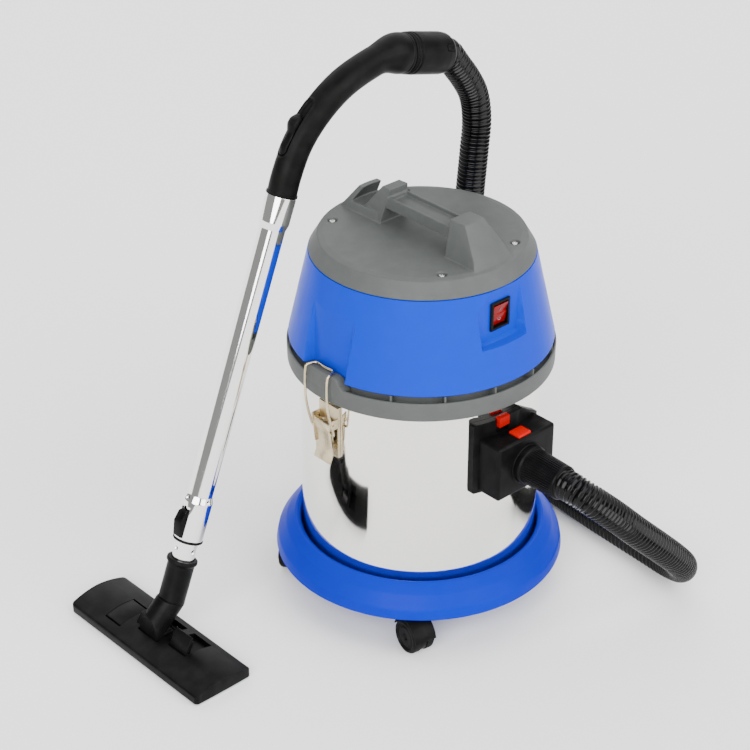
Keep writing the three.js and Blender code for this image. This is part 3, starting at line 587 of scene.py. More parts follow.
def ribbed(name, profile, ribs, depth, start, stop, place):
    """Lathe body whose outside carries fine lengthwise ribs between two heights."""
    outline = fillet([p[:2] for p in profile], [p[2] for p in profile], 5)
    samples = []
    for i, (r, z) in enumerate(outline):
        samples.append((r, z))
        r2, z2 = outline[(i + 1) % len(outline)]
        gap = math.hypot(r2 - r, z2 - z)
        if r > 18 and r2 > 18 and gap > 3:
            n = int(gap / 1.5)
            samples += [(r + (r2 - r) * j / n, z + (z2 - z) * j / n) for j in range(1, n)]
    count = ribs * 6
    verts = []
    for r, z in samples:
        w = smoothstep(start, start + 2.5, z) * (1 - smoothstep(stop - 2.5, stop, z)) if r > 18 else 0
        for k in range(count):
            t = 2 * math.pi * k / count
            grooved = r - w * depth * (0.5 - 0.5 * math.cos(ribs * t)) ** 2
            verts.append((grooved * math.cos(t), grooved * math.sin(t), z))
    return finish_mesh(name, verts, ring_faces(len(samples), count), 50, place)


inlet_cuff = ribbed("inlet cuff", [
    (16.5, 166, 0.5), (19.2, 166, 1), (19.2, 187, 1), (25, 187.2, 1), (25, 193.5, 2), (23.2, 195.5, 1),
    (21.6, 244, 2), (20.2, 246, 1), (16.5, 246, 0.5)], 44, 0.7, 196, 243, TO_FRONT)
piece(inlet_cuff, "inlet_cuff", BLACK, "black_plastic", "hose_cuff_inlet")

# ------------------------------------------------------------------ latches
LEVER_OUT = [
    (158.6, 292), (156.6, 289), (159.2, 284), (161.0, 279.5), (158.6, 262), (158.8, 246), (162.4, 237.5),
    (164.4, 236.2), (165.0, 237.6), (161.4, 246.6), (161.2, 262), (163.2, 278.5), (164.8, 286), (163.2, 292),
]
CHEEK_OUT = [
    (157.4, 288), (156.4, 294), (164.2, 294.4), (165.4, 280), (163.0, 258), (158.8, 258), (158.6, 272),
]
BAIL_HALF = [
    (162, 6.7, 279), (162, 14.7, 279), (162, 18.9, 279), (162.6, 19.5, 281), (171.5, 19.5, 319),
    (171.5, 19.5, 358), (169.8, 19.5, 364), (165, 18.5, 365.2), (158, 15.5, 365.2), (158, 0, 365.2),
]
RIVET_OUT = fillet([(0, 0), (3.4, 0), (2.6, 1.6), (0, 1.8)], [0, 0, 0.8, 0])
WIRE_R = 1.6


def latch_plate(turn):
    """Bracket riveted to the drum, with the two ears that carry the lever's pin."""
    base = block("latch base", (130, 153.4), (-17, 17), (242, 312), turn)
    cut(base, rod("room", 150.2, 180, 330, 200))
    bevel(base, 0.5, 2)
    ears = [block("ear", (150.5, 165.5), ys, (284.6, 298), turn, 0.6, 2) for ys in ((-17, -15), (15, 17))]
    rivets = []
    for z in (250, 304):
        at = turn @ turn_to((1, 0, 0), (153.2, 0, z))
        rivets.append(lathe("rivet", RIVET_OUT, 24, at))
    return join(base, *ears, *rivets)


def latch_lever(turn):
    """Pressed blade with rolled sides, a curled foot and its pin."""
    blade = prism("lever", LEVER_OUT, -14.6, 14.6, turn, 0.5, 2)
    cheeks = [prism("cheek", CHEEK_OUT, *ys, turn, 0.4, 2) for ys in ((-14.6, -12.9), (12.9, 14.6))]
    pin = lathe("pin", fillet([(0, -19), (2.2, -19), (2.2, 19), (0, 19)], [0, 0.6, 0.6, 0]), 24,
                turn @ turn_to((0, 1, 0), (160.5, 0, 290)))
    return join(blade, *cheeks, pin)


def latch_bail(turn):
    """Wire from one side of the lever up over the ring's lug and down to the other side."""
    points = BAIL_HALF + [(x, -y, z) for x, y, z in reversed(BAIL_HALF[:-1])]
    wire_line, _ = catmull([tuple(turn @ Vector(p)) for p in points], 1.2)
    return sweep("bail", wire_line, lambda i, t: WIRE_R, 16, (0, 0, 1), angle=60)


for name, angle in (("right", 0), ("left", math.pi)):
    turn = Matrix.Rotation(angle, 4, "Z")
    piece(latch_plate(turn), "tank", ZINC, "zinc_plated_steel", f"latch_plate_{name}")
    piece(latch_lever(turn), f"lever_{name}", ZINC, "zinc_plated_steel", f"latch_lever_{name}")
    piece(latch_bail(turn), f"bail_{name}", ZINC, "zinc_plated_steel", f"latch_bail_{name}")

# ------------------------------------------------------------------ head ring
ring_body = lathe("head ring", fillet(
    [(20, 341), (153, 341), (153, 324.6), (165.4, 324.6), (165.9, 348.4), (163.4, 349.4), (162.8, 342.4),
     (151, 342.4), (150.6, 356.6), (148, 356.6), (148, 345), (20, 345)],
    [0, 1, 0.6, 1.6, 1.2, 0.8, 0.6, 0.6, 0.4, 0.4, 2, 0]), segments=200)
LUG_RIGHT = [(36, 340), (36, 348), (31, 352), (25, 360), (20, 362)]
LUG_OUT = LUG_RIGHT + [(-x, z) for x, z in LUG_RIGHT[::-1]]
RIM_OUT = [(153.4, 330), (165.6, 330), (166.0, 352), (164.4, 364), (153.4, 364)]
RING_RIBS, RIB_CIRCLE = 16, 158
extras = []
for angle in (0, math.pi):
    lug = prism("lug", LUG_OUT, -172, -140, Matrix.Rotation(angle + math.pi / 2, 4, "Z"))
    cut(lug, lathe("rim", RIM_OUT, 200), operation="INTERSECT")
    bevel(lug, 0.9, 3)
    extras.append(lug)
for k in range(RING_RIBS):
    a = 2 * math.pi * (k + 0.5) / RING_RIBS
    clear_of_lugs = abs(math.sin(a)) * RIB_CIRCLE > 33
    if clear_of_lugs:
        rib = block("rib", (150.4, 163.4), (-1.2, 1.2), (342, 356.4), Matrix.Rotation(a, 4, "Z"), 0.3, 1)
        extras.append(rib)
join(ring_body, *extras)
piece(ring_body, "tank", GREY, "grey_plastic", "head_ring")

# ------------------------------------------------------------------ head shell
SHELL_LOW, SHELL_TOP = 357.0, 470.0
SHELL_LOW_R, SHELL_TOP_R = 164, 138.2
PANEL_FRONT, WALL = 137.0, 3.0


def cone(z):
    """Radius of the shell's plain cone at height z."""
    return SHELL_LOW_R + (z - SHELL_LOW) * (SHELL_TOP_R - SHELL_LOW_R) / (SHELL_TOP - SHELL_LOW)


def shell_radius(t, z):
    """Outside radius of the shell at angle t and height z."""
    r = cone(z)
    r -= 1.6 * (1 - smoothstep(SHELL_LOW, SHELL_LOW + 1.6, z)) ** 2
    c, s = math.cos(t), math.sin(t)
    # front panel, a flat facing -Y
    if s < -0.3:
        x = r * c
        inside = smoothstep(-42.8, -41.2, x) * (1 - smoothstep(25.2, 26.8, x)) * smoothstep(403.4, 405.0, z)
        flat = PANEL_FRONT / -s
        if flat < r:
            r = r + (flat - r) * inside
    # latch recesses facing -X and +X, fading out upward
    if abs(c) > 0.7:
        y = r * s
        inside = smoothstep(-36.5, -33.0, y) * (1 - smoothstep(33.0, 36.5, y))
        r -= 13.0 * max(0.0, 1 - (z - SHELL_LOW) / 78.0) * inside
    return r


angles = np.linspace(0, 2 * math.pi, 960, endpoint=False)
# rows lie closer where the lower edge and the panel's lower border turn
outside = np.concatenate([
    SHELL_LOW + np.array([0, 0.4, 0.9, 1.5, 2.2, 4]), np.linspace(363, 402, 22), np.linspace(403, 406, 9),
    np.linspace(408, SHELL_TOP, 34)])
inside = [SHELL_TOP, *np.linspace(460, 366, 12), SHELL_LOW]
verts = []
for heights, inset in ((outside, 0.0), (inside, WALL)):
    for z in heights:
        for t in angles:
            r = shell_radius(t, z) - inset
            verts.append((r * math.cos(t), r * math.sin(t), z))
faces = ring_faces(len(outside) + len(inside), len(angles))
shell = finish_mesh("head shell", verts, faces, 35)
SHELL_LEAN = math.atan2(SHELL_LOW_R - SHELL_TOP_R, SHELL_TOP - SHELL_LOW)
GLAND_PLACE = Matrix.Translation((1, 143.9, 445)) @ Matrix.Rotation(SHELL_LEAN - math.pi / 2, 4, "X")
cut(shell, block("switch hole", (-20.2, 6.2), (-160, -120), (420.4, 453.6)),
    rod("cord hole", 6.4, -30, 30, 48, GLAND_PLACE))
soften(shell, 35)
piece(shell, "tank", BLUE_HEAD, "head_blue", "head_shell")

# ------------------------------------------------------------------ cap with carrying handle
CAP_LOW = 470.4


def skirt_at(z):
    """Radius of the cone that the handle's posts end on."""
    return 138.1 - (z - CAP_LOW) * 0.78


def skirt():
    """Body inside that cone, which trims a post's outer face."""
    return lathe("skirt", [(0, 471), (skirt_at(471), 471), (skirt_at(537), 537), (0, 537)], 200)


cap = lathe("cap", fillet(
    [(0, 476), (126, 476), (133, CAP_LOW), (138.1, CAP_LOW), (130.6, 483), (126.6, 489.9), (119, 491.4),
     (60, 490), (0, 488.5)],
    [0, 2, 1, 0.8, 10, 1.0, 4, 0, 0], steps=8), segments=200)
front = wedge("front post", (42, 31, -150, -66, 474), (15, 16, -150, -62, 535))
cut(front, skirt(), operation="INTERSECT")
rear = wedge("rear post", (24, 17, 52, 99, 484), (15, 14, 42, 56, 535))
rear_base = wedge("rear base", (25, 31, 50, 150, 480), (20, 24, 58, 150, 501))
cut(rear_base, skirt(), operation="INTERSECT")
fin = wedge("fin", (30, 30, 84, 150, 476), (15, 15, 84, 150, 522))
cut(fin, skirt(), operation="INTERSECT")
cut(fin, lathe("core", [(0, 478), (skirt_at(480) - 9, 478), (skirt_at(530) - 9, 532), (0, 532)], 200))
bar = block("bar", (-16, 16), (-69, 50), (509, 524.6))
cut(bar, block("tray", (-12.6, 12.6), (-60, 42), (519.4, 530), None, 1.6, 3))
cut(cap, front, rear, rear_base, fin, bar, operation="UNION")
SCREW_AT = [Matrix.Translation((x, y, 0)) for x, y in ((-60, -95), (60, -95), (60, 95), (-60, 95))]
DIMPLE_OUT = fillet([(0, 486.6), (4.9, 486.6), (7.4, 493), (0, 493)], [0, 1, 0, 0])
SCREW_OUT = fillet([(0, 480.5), (1.9, 480.5), (1.9, 487.2), (3.9, 487.2), (3.5, 490.0), (0, 490.6)],
                   [0, 0, 0, 0.4, 0.8, 0])
for at in SCREW_AT:
    cut(cap, lathe("dimple", DIMPLE_OUT, 32, at))
mould(cap, 0.8, smooth=2)
piece(cap, "tank", GREY, "grey_plastic", "top_cap")
for i, at in enumerate(SCREW_AT, 1):
    head = lathe("screw", SCREW_OUT, 32, at)
    for spin in (0, math.pi / 2):
        cut(head, block("cross", (-2.3, 2.3), (-0.5, 0.5), (489.2, 492),
                        at @ Matrix.Rotation(spin + 0.4 * i, 4, "Z")))
    piece(head, "tank", SCREW, "screw_steel", f"cap_screw_{i}")

# ------------------------------------------------------------------ switch and gland
SWITCH = Matrix.Translation((-7.0, -137.0, 437.0))
ROCKER_OUT = [(5, -10), (-0.8, -14.2), (-3.4, -0.2), (-2.4, 1.6), (-6.0, 13.8), (5, 10)]


def on_rocker(y, z, degrees):
    """Place on one of the rocker's two faces, with Z along the face's normal."""
    return SWITCH @ Matrix.Translation((0, y, z)) @ Matrix.Rotation(math.radians(degrees), 4, "X")


bezel = block("bezel", (-15.6, 15.6), (-3.2, -0.3), (-18.6, 18.6), SWITCH, 1.2, 3)
body = block("switch body", (-13, 13), (-2, 18), (-16.4, 16.4), SWITCH)
cut(bezel, body, operation="UNION")
cut(bezel, block("room", (-12, 12), (-10, 12), (-15.4, 15.4), SWITCH))
piece(bezel, "tank", BLACK, "black_plastic", "switch_bezel")
rocker = prism("rocker", ROCKER_OUT, -11.5, 11.5,
               SWITCH @ Matrix.Translation((0, 2, 0)) @ Matrix.Rotation(math.pi / 2, 4, "Z"), 0.5, 3)
piece(rocker, "rocker", RED, "red_plastic", "switch_rocker")
mark_ring = lathe("switch_mark_ring", [(1.7, -0.15), (2.3, -0.15), (2.3, 0.15), (1.7, 0.15)], 32,
                  on_rocker(-0.45, -6.2, 78))
mark_bar = block("switch_mark_bar", (-0.35, 0.35), (-2.2, 2.2), (-0.15, 0.15), on_rocker(-2.35, 7.0, 110))
join(mark_ring, mark_bar)
piece(mark_ring, "rocker", MARK, "red_plastic")
gland_outline = [(0, -8), (6, -8), (6, 1), (12, 1), (12, 3), (10.4, 4)]
gland_radii = [0, 0.5, 0, 0.5, 0.8, 0.5]
for n in range(5):
    z = 5.0 + 3.4 * n
    gland_outline += [(10.0 - 0.12 * n, z), (9.9 - 0.12 * n, z + 2.2), (8.7, z + 2.4), (8.7, z + 3.2)]
    gland_radii += [0.4, 0.4, 0.2, 0.2]
gland = lathe("gland", fillet(gland_outline + [(9.4, 22.4), (9.4, 25), (4.0, 25), (4.0, 20), (0, 20)],
                              gland_radii + [0.4, 1.4, 0.6, 0.2, 0], 3), 64, GLAND_PLACE)
piece(gland, "tank", BLACK, "black_plastic", "cord_gland")

# ------------------------------------------------------------------ wand
TILT = Matrix.Translation(WAND) @ Matrix.Rotation(LEAN, 4, "Y")
DETENTS = [math.radians(a) for a in (-88, 176)]
# black plug set into each detent dimple: painted shade standing in for the dark inside of the hole
SHADE_PLUG_OUT = fillet([(0, -2.6), (1.35, -2.6), (1.35, -0.9), (0, -0.7)], [0, 0, 0.3, 0])


def dents(obj, radius, height):
    """Small round detent dimples pressed into a tube, each with a small black plug at its bottom, painted
    shade for the dark inside of the hole.
    """
    shade_plugs = []
    for spin in DETENTS:
        at = TILT @ Matrix.Rotation(spin, 4, "Z") @ turn_to((1, 0, 0), (radius, 0, height))
        cut(obj, lathe("dent", [(0, -2.2), (1.3, -1.5), (3.4, 0.35), (0, 0.4)], 32, at))
        # black plug of painted shade at the bottom of the dimple
        shade_plugs.append(lathe("pin", SHADE_PLUG_OUT, 20, at))
    return shade_plugs


INNER_OUT = fillet([(13, -20), (14.2, -20), (14.2, 400), (13, 400)], [0.3] * 4)
inner_tube = lathe("inner tube", INNER_OUT, 96, TILT)
inner_shade_plugs = dents(inner_tube, 14.2, 13.5)
piece(inner_tube, "tank", CHROME, "polished_steel", "inner_tube")
# the black plugs in the inner tube's detent dimples are painted shade for the holes
piece(join(*inner_shade_plugs), "tank", BLACK, "black_plastic")
sleeve = lathe("outer tube", fillet(
    [(14.5, 28), (18.4, 28), (18.4, 78), (16, 86), (16, 430), (18.4, 438), (18.4, 471), (17.2, 471),
     (17.2, 436), (14.8, 429), (14.8, 87), (14.5, 80)],
    [0.3, 0.8, 5, 5, 5, 5, 0.8, 0.3, 4, 4, 4, 0], steps=6), 128, TILT)
outer_shade_plugs = dents(sleeve, 17.3, 82)
cut(sleeve, block("keyhole", (-40, -10), (-7.3, 7.3), (30.7, 71.3), TILT))
piece(sleeve, "telescope", CHROME, "polished_steel", "outer_tube")
# the black plugs in the outer tube's detent dimples are painted shade for the holes
piece(join(*outer_shade_plugs), "telescope", BLACK, "black_plastic")
END_RING_OUT = fillet([(14.8, 24.6), (19, 24.6), (19, 27.8), (14.8, 27.8)], [0.3, 1.2, 1.2, 0.3])
end_ring = lathe("end ring", END_RING_OUT, 96, TILT)
piece(end_ring, "telescope", RUBBER, "black_rubber", "tube_end_ring")
TUBE_KEY_OUT = [(-15.3, 31), (-15.3, 66), (-21.6, 63.4), (-25.4, 50.4), (-20.4, 31)]
tube_key = prism("tube key", TUBE_KEY_OUT, -7, 7, TILT)
cut(tube_key, prism("notch", [(-30, 70), (-30, 61.2), (-22.6, 52.6), (-17.0, 70)], -4.6, 4.6, TILT))
for s in (-1, 1):
    flank = TILT @ Matrix.Translation((0, 7.2 * s, 60)) @ Matrix.Rotation(math.radians(4.5 * s), 4, "X")
    cut(tube_key, block("flank", (-40, -5), (0, 12) if s > 0 else (-12, 0), (-60, 40), flank))
bevel(tube_key, 0.7, 3)
piece(tube_key, "tube_key", BLACK, "black_plastic", "tube_button")

# the neck and the elbow meet on a slanted plane through this point
BEND_AT = Matrix.Translation((-331, 98, 57))
JOINT = BEND_AT @ Matrix.Rotation(math.radians(30), 4, "Y")
neck = lathe("neck", fillet(
    [(14.5, 0), (19.5, 0), (19.5, -4.6), (17.2, -7), (17, -80), (13, -80), (13.2, -24), (14.5, -22)],
    [0.6, 1.6, 1.6, 2.5, 0, 0, 2, 0.5]), 112, TILT)
cut(neck, block("far side", (-120, 120), (-120, 120), (-120, 0.2), JOINT))
piece(neck, "tank", BLACK, "black_plastic", "neck")

# elbow: a leaning tube whose front is cut to an upright flat over a square foot
BEND = BEND_AT @ Matrix.Rotation(math.radians(48), 4, "Y")
elbow = rod("elbow", 17.6, -90, 30, 160, BEND)
cut(elbow, block("above the joint", (-90, 90), (-90, 90), (-0.2, 120), JOINT))
cut(elbow, block("foot", (-367.6, -343), (80.8, 115.2), (6, 26)), operation="UNION")
flare = prism("flare", [(98, 26.5), (123.5, 26.5), (112.5, 48), (98, 48)], 356, 367.8,
              Matrix.Rotation(math.pi / 2, 4, "Z"))
cut(elbow, flare, operation="UNION")
cut(elbow,
    block("front", (-460, -368), (0, 200), (-60, 120)),
    block("under", (-460, -300), (0, 200), (-60, 11)),
    block("toe", (-460, -363.8), (0, 200), (-60, 19)))
cut(elbow, rod("bore", 12.5, -22, 60, 64, BEND))
mould(elbow, 0.55, smooth=2)
piece(elbow, "elbow", BLACK, "black_plastic", "elbow")


# ------------------------------------------------------------------ grip
def wand_point(along):
    """Point on the wand's axis."""
    return (WAND.x + along * math.sin(LEAN), WAND.y, WAND.z + along * math.cos(LEAN))


GRIP = [wand_point(471.5), (-127.5, 98, 572), (-109, 98, 606.5), (-79, 98, 637), (-42, 98, 660),
        (-2, 98, 672.5), (26, 98, 677), (44, 98, 676.1), (57.4, 98, 672.7)]
grip_line, grip_arc = catmull(GRIP, 0.8)
GRIP_LONG = grip_arc[-1]
GRIP_R, GRIP_BORE = 18.0, 13.0
SLOT_LOW, SLOT_HIGH, SLOT_HALF, SLOT_TURN = 44.0, 112.5, 8.2, math.radians(82)


def grip_radius(s):
    """Radius along the grip: a lip at its foot, and a flare with one groove at the hose end."""
    r = GRIP_R + 0.4 * smoothstep(60, 160, s)
    r += 1.1 * (1 - smoothstep(2.4, 3.4, s))
    r += 6.6 * smoothstep(GRIP_LONG - 46, GRIP_LONG - 10, s)
    groove = smoothstep(GRIP_LONG - 5.0, GRIP_LONG - 4.4, s)
    groove -= smoothstep(GRIP_LONG - 3.4, GRIP_LONG - 2.8, s)
    return r - 0.6 * groove


def outside_slot(s, t):
    """Distance in mm outside the slider's round-ended slot, negative inside it."""
    across = (t - SLOT_TURN + math.pi) % (2 * math.pi) - math.pi
    along = max(SLOT_LOW + SLOT_HALF - s, s - (SLOT_HIGH - SLOT_HALF), 0.0)
    return math.hypot(along, across * GRIP_R) - SLOT_HALF


def grip_surface(i, t):
    """Grip radius with the slot sunk in it and a raised lip round the slot."""
    s = grip_arc[i]
    r = grip_radius(s)
    if 36 < s < 120:
        d = outside_slot(s, t)
        r -= 3.2 * (1 - smoothstep(-1.3, 0.0, d))
        r += 0.7 * smoothstep(0.0, 0.5, d) * (1 - smoothstep(0.9, 2.2, d))
    return r


grip = sweep("grip", grip_line, grip_surface, sides=160, first_side=(0, 1, 0), hollow=GRIP_BORE, angle=50)
spigot = lathe("spigot", [(GRIP_BORE, 440), (16.8, 440), (16.8, 474), (GRIP_BORE, 474)], 64, TILT)
join(grip, spigot)
piece(grip, "telescope", BLACK_SOFT, "black_plastic", "grip")

# thumb slider: a rounded key with a finger dish and fine teeth on its crest
grip_u, grip_v = frames(grip_line, (0, 1, 0))
KEY_LOW, KEY_HIGH, KEY_HALF = 45.2, 91.5, 7.3
TOOTH_PITCH, EDGE_ROUND = 1.7, 1.6


def slider_height(s, y):
    """Height of the key over its rounded edge, at `s` along the grip and `y` across."""
    f = (s - KEY_LOW) / (KEY_HIGH - KEY_LOW)
    h = 0.6 + 2.2 * smoothstep(0.0, 0.25, f) - 2.0 * math.exp(-((f - 0.42) / 0.17) ** 2)
    h += 3.6 * smoothstep(0.5, 0.74, f) * (1 - smoothstep(0.8, 1.02, f))
    if 0.66 < f < 0.9:
        h += 0.28 * (0.5 + 0.5 * math.cos(2 * math.pi * (s - KEY_LOW) / TOOTH_PITCH))
    return h - 0.018 * y * y


def slider_mesh():
    """Two grids of points, the key's foot and its top, joined round their border."""
    verts, faces, index = [], [], {}
    rows, columns = 96, 44
    for level in (0, 1):
        for i in range(rows + 1):
            s = KEY_LOW + (KEY_HIGH - KEY_LOW) * i / rows
            ends = max(KEY_LOW + KEY_HALF - s, s - (KEY_HIGH - KEY_HALF), 0.0)
            wide = math.sqrt(max(KEY_HALF ** 2 - ends ** 2, 0.3))
            at = s / GRIP_LONG * (len(grip_line) - 1)
            j = int(at)
            p = grip_line[j] * (1 - at + j) + grip_line[j + 1] * (at - j)
            for k in range(columns + 1):
                y = wide * math.sin(math.pi / 2 * (2 * k / columns - 1))
                a = SLOT_TURN + y / GRIP_R
                inward = min(wide - abs(y), s - KEY_LOW, KEY_HIGH - s)
                edge = max(0.0, 1 - (1 - min(1.0, inward / EDGE_ROUND)) ** 2) ** 0.5
                r = 16.4 + (1.6 + slider_height(s, y)) * edge if level else 14.4
                index[level, i, k] = len(verts)
                verts.append(p + r * (math.cos(a) * grip_u[j] + math.sin(a) * grip_v[j]))
    for i in range(rows):
        for k in range(columns):
            for level in (0, 1):
                quad = [index[level, u, v] for u, v in ((i, k), (i, k + 1), (i + 1, k + 1), (i + 1, k))]
                faces.append(tuple(quad if level else quad[::-1]))
    rim = [(i, 0) for i in range(rows + 1)] + [(rows, k) for k in range(1, columns + 1)]
    rim += [(i, columns) for i in range(rows - 1, -1, -1)] + [(0, k) for k in range(columns - 1, 0, -1)]
    for a, b in zip(rim, rim[1:] + rim[:1]):
        faces.append((index[(0, *a)], index[(0, *b)], index[(1, *b)], index[(1, *a)]))
    return finish_mesh("grip slider", verts, faces, 50)


piece(slider_mesh(), "slider", BLACK, "black_plastic", "grip_slider")

# swivel cuff between grip and hose
CUFF_TURN = Matrix.Translation((58.4, 98, 672.6)) @ Matrix.Rotation(math.radians(105), 4, "Y")
cuff = lathe("grip cuff", fillet(
    [(14, 0.5), (25.0, 0.5), (25.6, 2.2), (24.7, 3.2), (24.7, 4.4), (25.8, 5.4), (25.8, 7.0), (24.8, 8.0),
     (24.8, 9.0), (26.1, 10.6), (26.1, 58), (25.0, 66), (22.0, 71), (14, 71)],
    [0.3, 0.8, 0.5, 0.3, 0.3, 0.5, 0.5, 0.3, 0.3, 1.6, 12, 5, 3, 0.3], steps=5), 160, CUFF_TURN)
tab_at = CUFF_TURN @ Matrix.Rotation(math.radians(-119), 4, "Z")
tab = block("tab", (24.2, 26.9), (-3.4, 3.4), (52, 62.5), tab_at, 0.7, 3)
cut(cuff, block("tab seat", (24.0, 28), (-4.2, 4.2), (51.2, 63.3), tab_at))
join(cuff, tab)
piece(cuff, "grip_cuff", BLACK_SOFT, "black_plastic", "hose_cuff_grip")

# ------------------------------------------------------------------ floor nozzle
AT_NOZZLE = Matrix.Translation(NOZZLE)
HALF_X, HALF_Y = 42.5, 128.0
CREST_HALF = 40.6


def rounded_plan(hx, hy, corner, bow=0.0, steps=10):
    """Rectangle outline with round corners and ends that bow outward."""
    points = []
    for cx, cy, start in ((1, 1, 0), (-1, 1, 90), (-1, -1, 180), (1, -1, 270)):
        for k in range(steps + 1):
            a = math.radians(start + 90 * k / steps)
            points.append((cx * (hx - corner) + corner * math.cos(a),
                           cy * (hy - corner) + corner * math.sin(a)))
    dense = []
    for i, (x, y) in enumerate(points):
        x2, y2 = points[(i + 1) % len(points)]
        n = max(1, int(math.hypot(x2 - x, y2 - y) / 3))
        dense += [(x + (x2 - x) * j / n, y + (y2 - y) * j / n) for j in range(n)]
    return [(x, y - math.copysign(bow * (x / hx) ** 2, y) * min(1.0, abs(y) / hy) ** 4) for x, y in dense]


def crown(x):
    """Height of the cover's top above the floor, from its middle out to its edge."""
    return 14.6 + 8.4 * (1 - min(1.0, abs(x) / CREST_HALF) ** 1.8)


CREST = [(x, crown(x)) for x in np.linspace(-CREST_HALF, CREST_HALF, 41)]
COVER_OUT = [(-HALF_X, 3.3), (-HALF_X, 12.2), (-HALF_X + 0.5, 13.7), *CREST,
             (HALF_X - 0.5, 13.7), (HALF_X, 12.2), (HALF_X, 3.3)]
cover = prism("nozzle cover", COVER_OUT, -HALF_Y, HALF_Y, AT_NOZZLE)
corners = slab("corners", rounded_plan(HALF_X, HALF_Y, 5.0, 0.6), 0, 40, AT_NOZZLE)
cut(cover, corners, operation="INTERSECT")
bevel(cover, 1.6, 4, 50)
cut(cover, block("well", (-16.5, 32), (-17.2, 21.2), (6, 40), AT_NOZZLE),
    block("room left", (-29, 17), (43, 73), (11, 40), AT_NOZZLE),
    block("room right", (-9.5, 32.5), (-64, -30), (11, 40), AT_NOZZLE),
    block("channel", (-36.5, 36.5), (-120, 120), (2, 8), AT_NOZZLE))
soften(cover, 40)
piece(cover, "nozzle", BLACK, "black_plastic", "nozzle_top")

sole = slab("sole", rounded_plan(41.9, 127.4, 4.6, 0.6), 0.6, 3.0, AT_NOZZLE)
cut(sole,
    block("mouth", (-9, 9), (-106, 106), (-1, 5), AT_NOZZLE),
    block("slot", (-31, -23), (-116, 116), (-1, 5), AT_NOZZLE),
    block("slot", (23, 31), (-116, 116), (-1, 5), AT_NOZZLE))
SOLE_SCREW_OUT = fillet([(0, 0.2), (3.2, 0.2), (3.2, 0.9), (0, 0.9)], [0, 0.3, 0, 0])
runners = []
for s in (-1, 1):
    plan = [(x + 16 * s, y) for x, y in rounded_plan(3, 114, 2.8)]
    runners.append(slab("runner", plan, 0.0, 1.2, AT_NOZZLE, 0.3, 2))
    for y in (-60, 60):
        at = AT_NOZZLE @ Matrix.Translation((36.5 * s, y, 0))
        runners.append(lathe("screw", SOLE_SCREW_OUT, 24, at))
join(sole, *runners)
piece(sole, "nozzle", ALU, "aluminium", "nozzle_sole")

TUFT_ANGLES = (0.3, 1.9, 3.4, 5.0)
TUFT_R, TUFT_TOP, TUFT_TIP, TUFTS = 0.55, 2.5, 0.45, 96
TUFT_FACES = [(0, 1, 2, 3), (7, 6, 5, 4), *ring_faces(2, 4, closed=False)]


def tuft(x, y, lean):
    """Square tuft of bristles, narrower and leaning at its tip."""
    ring = [(TUFT_R * math.cos(a), TUFT_R * math.sin(a)) for a in TUFT_ANGLES]
    points = [(x + u, y + v, TUFT_TOP) for u, v in ring]
    points += [(x + u * 0.9 + lean * 0.4, y + v * 0.9 + lean, TUFT_TIP) for u, v in ring]
    mesh = bpy.data.meshes.new("tuft")
    mesh.from_pydata([tuple(P(*(AT_NOZZLE @ Vector(p)))) for p in points], [], TUFT_FACES)
    obj = bpy.data.objects.new("tuft", mesh)
    bpy.context.scene.collection.objects.link(obj)
    return obj


for name, middle in (("front", -27), ("rear", 27)):
    strip = block("strip", (middle - 3.3, middle + 3.3), (-115, 115), (2.4, 4.6), AT_NOZZLE, 0.3, 1)
    tufts = []
    for row in (-1.8, 0.0, 1.8):
        for k in range(TUFTS):
            lean = 0.5 * math.sin(12.9898 * k + 5 * row)
            tufts.append(tuft(middle + row, -113 + k * 226 / (TUFTS - 1), lean))
    join(strip, *tufts)
    recalc(strip)
    piece(strip, "brushes", RUBBER, "black_rubber", f"brush_{name}")

# flush pedal on the left: a plate that carries on the cover's crown between two dark slots
PEDAL_THICK = 3.6
pad_top = [(x, crown(x) - 0.1) for x in np.linspace(-26.6, 14.6, 24)]
pad = prism("pedal", pad_top + [(x, z - PEDAL_THICK) for x, z in pad_top[::-1]], 43.4, 72.6, AT_NOZZLE)
bevel(pad, 0.5, 2, 60)
piece(pad, "pedal_left", BLACK, "black_plastic", "pedal_left")

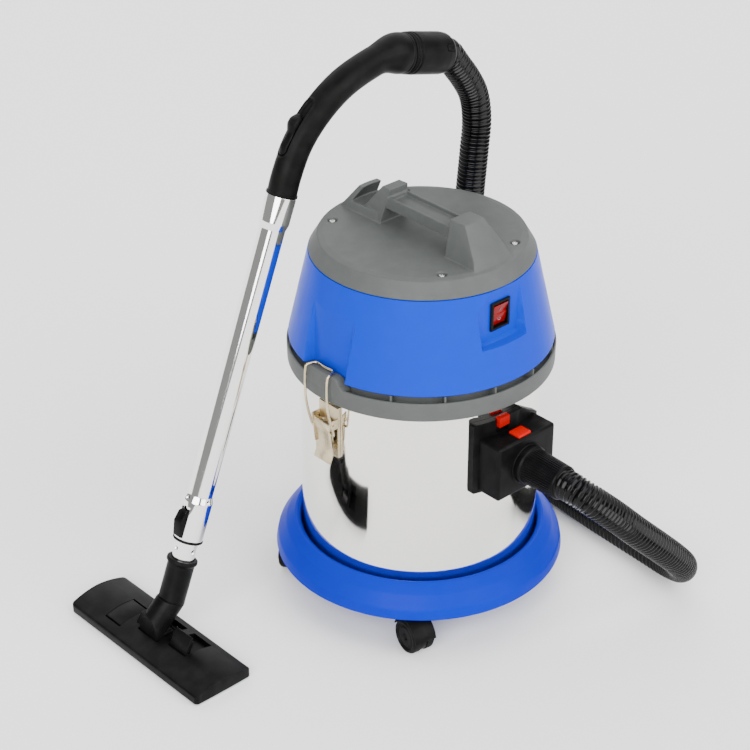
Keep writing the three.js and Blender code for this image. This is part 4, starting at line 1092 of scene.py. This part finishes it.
# raised tread on the right, hinged along its front edge over an open pocket
TREAD = AT_NOZZLE @ Matrix.Translation((-7.5, -47, 21)) @ Matrix.Rotation(math.radians(-62), 4, "Y")
TREAD_OUT = [(-1.4, -1.6), (0.4, -3.0), (24.4, -2.4), (25.4, -1.2), (24.6, 0.2), (14, 0.9), (1, 0.2)]
tread = prism("tread", TREAD_OUT, -16, 16, TREAD, 0.7, 3)
ribs = [block("rib", (3, 20), (y - 0.8, y + 0.8), (-7.4, -2), TREAD, 0.4, 2) for y in (-13.5, 0, 13.5)]
join(tread, *ribs)
piece(tread, "pedal_right", BLACK, "black_plastic", "pedal_right")

# ------------------------------------------------------------------ stage
FAR = 60000
FLOOR_CORNERS = [(-FAR, -FAR, 0), (FAR, -FAR, 0), (FAR, FAR, 0), (-FAR, FAR, 0)]
floor = finish_mesh("floor", FLOOR_CORNERS, [(0, 1, 2, 3)])
floor.data.materials.append(material("floor", (0.86, 0.86, 0.86), 0.9, spec=0.0))

world = bpy.data.worlds.new("studio")
bpy.context.scene.world = world
world.use_nodes = True
background = world.node_tree.nodes["Background"]
background.inputs["Color"].default_value = (1, 1, 1, 1)
background.inputs["Strength"].default_value = 0.35


def soft_sun(name, direction, strength, spread):
    """Large diffuse light coming from `direction`."""
    data = bpy.data.lights.new(name, "SUN")
    data.energy = strength
    data.angle = math.radians(spread)
    obj = bpy.data.objects.new(name, data)
    bpy.context.scene.collection.objects.link(obj)
    obj.rotation_mode = "QUATERNION"
    obj.rotation_quaternion = Vector(direction).to_track_quat("Z", "Y")


soft_sun("key", (-1.2, -0.75, 0.75), 5.0, 50)
soft_sun("fill", (0.35, -1.3, 0.8), 4.0, 60)
soft_sun("top", (0.5, 0.5, 1.0), 3.5, 90)

# the pieces inside keep their CAD shapes
INSIDE = {"inlet_seal": RUBBER, "inlet_deflector": BLACK, "head_gasket": RUBBER, "motor_housing": ALU,
          "fan_cover": ALU, "armature": COPPER, "impeller": ALU, "cooling_fan": BLACK,
          "filter": CLOTH, "float_cage": BLACK, "float_ball": BLUE}
for name, mat in INSIDE.items():
    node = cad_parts[name]
    node.data.materials.clear()
    node.data.materials.append(mat)
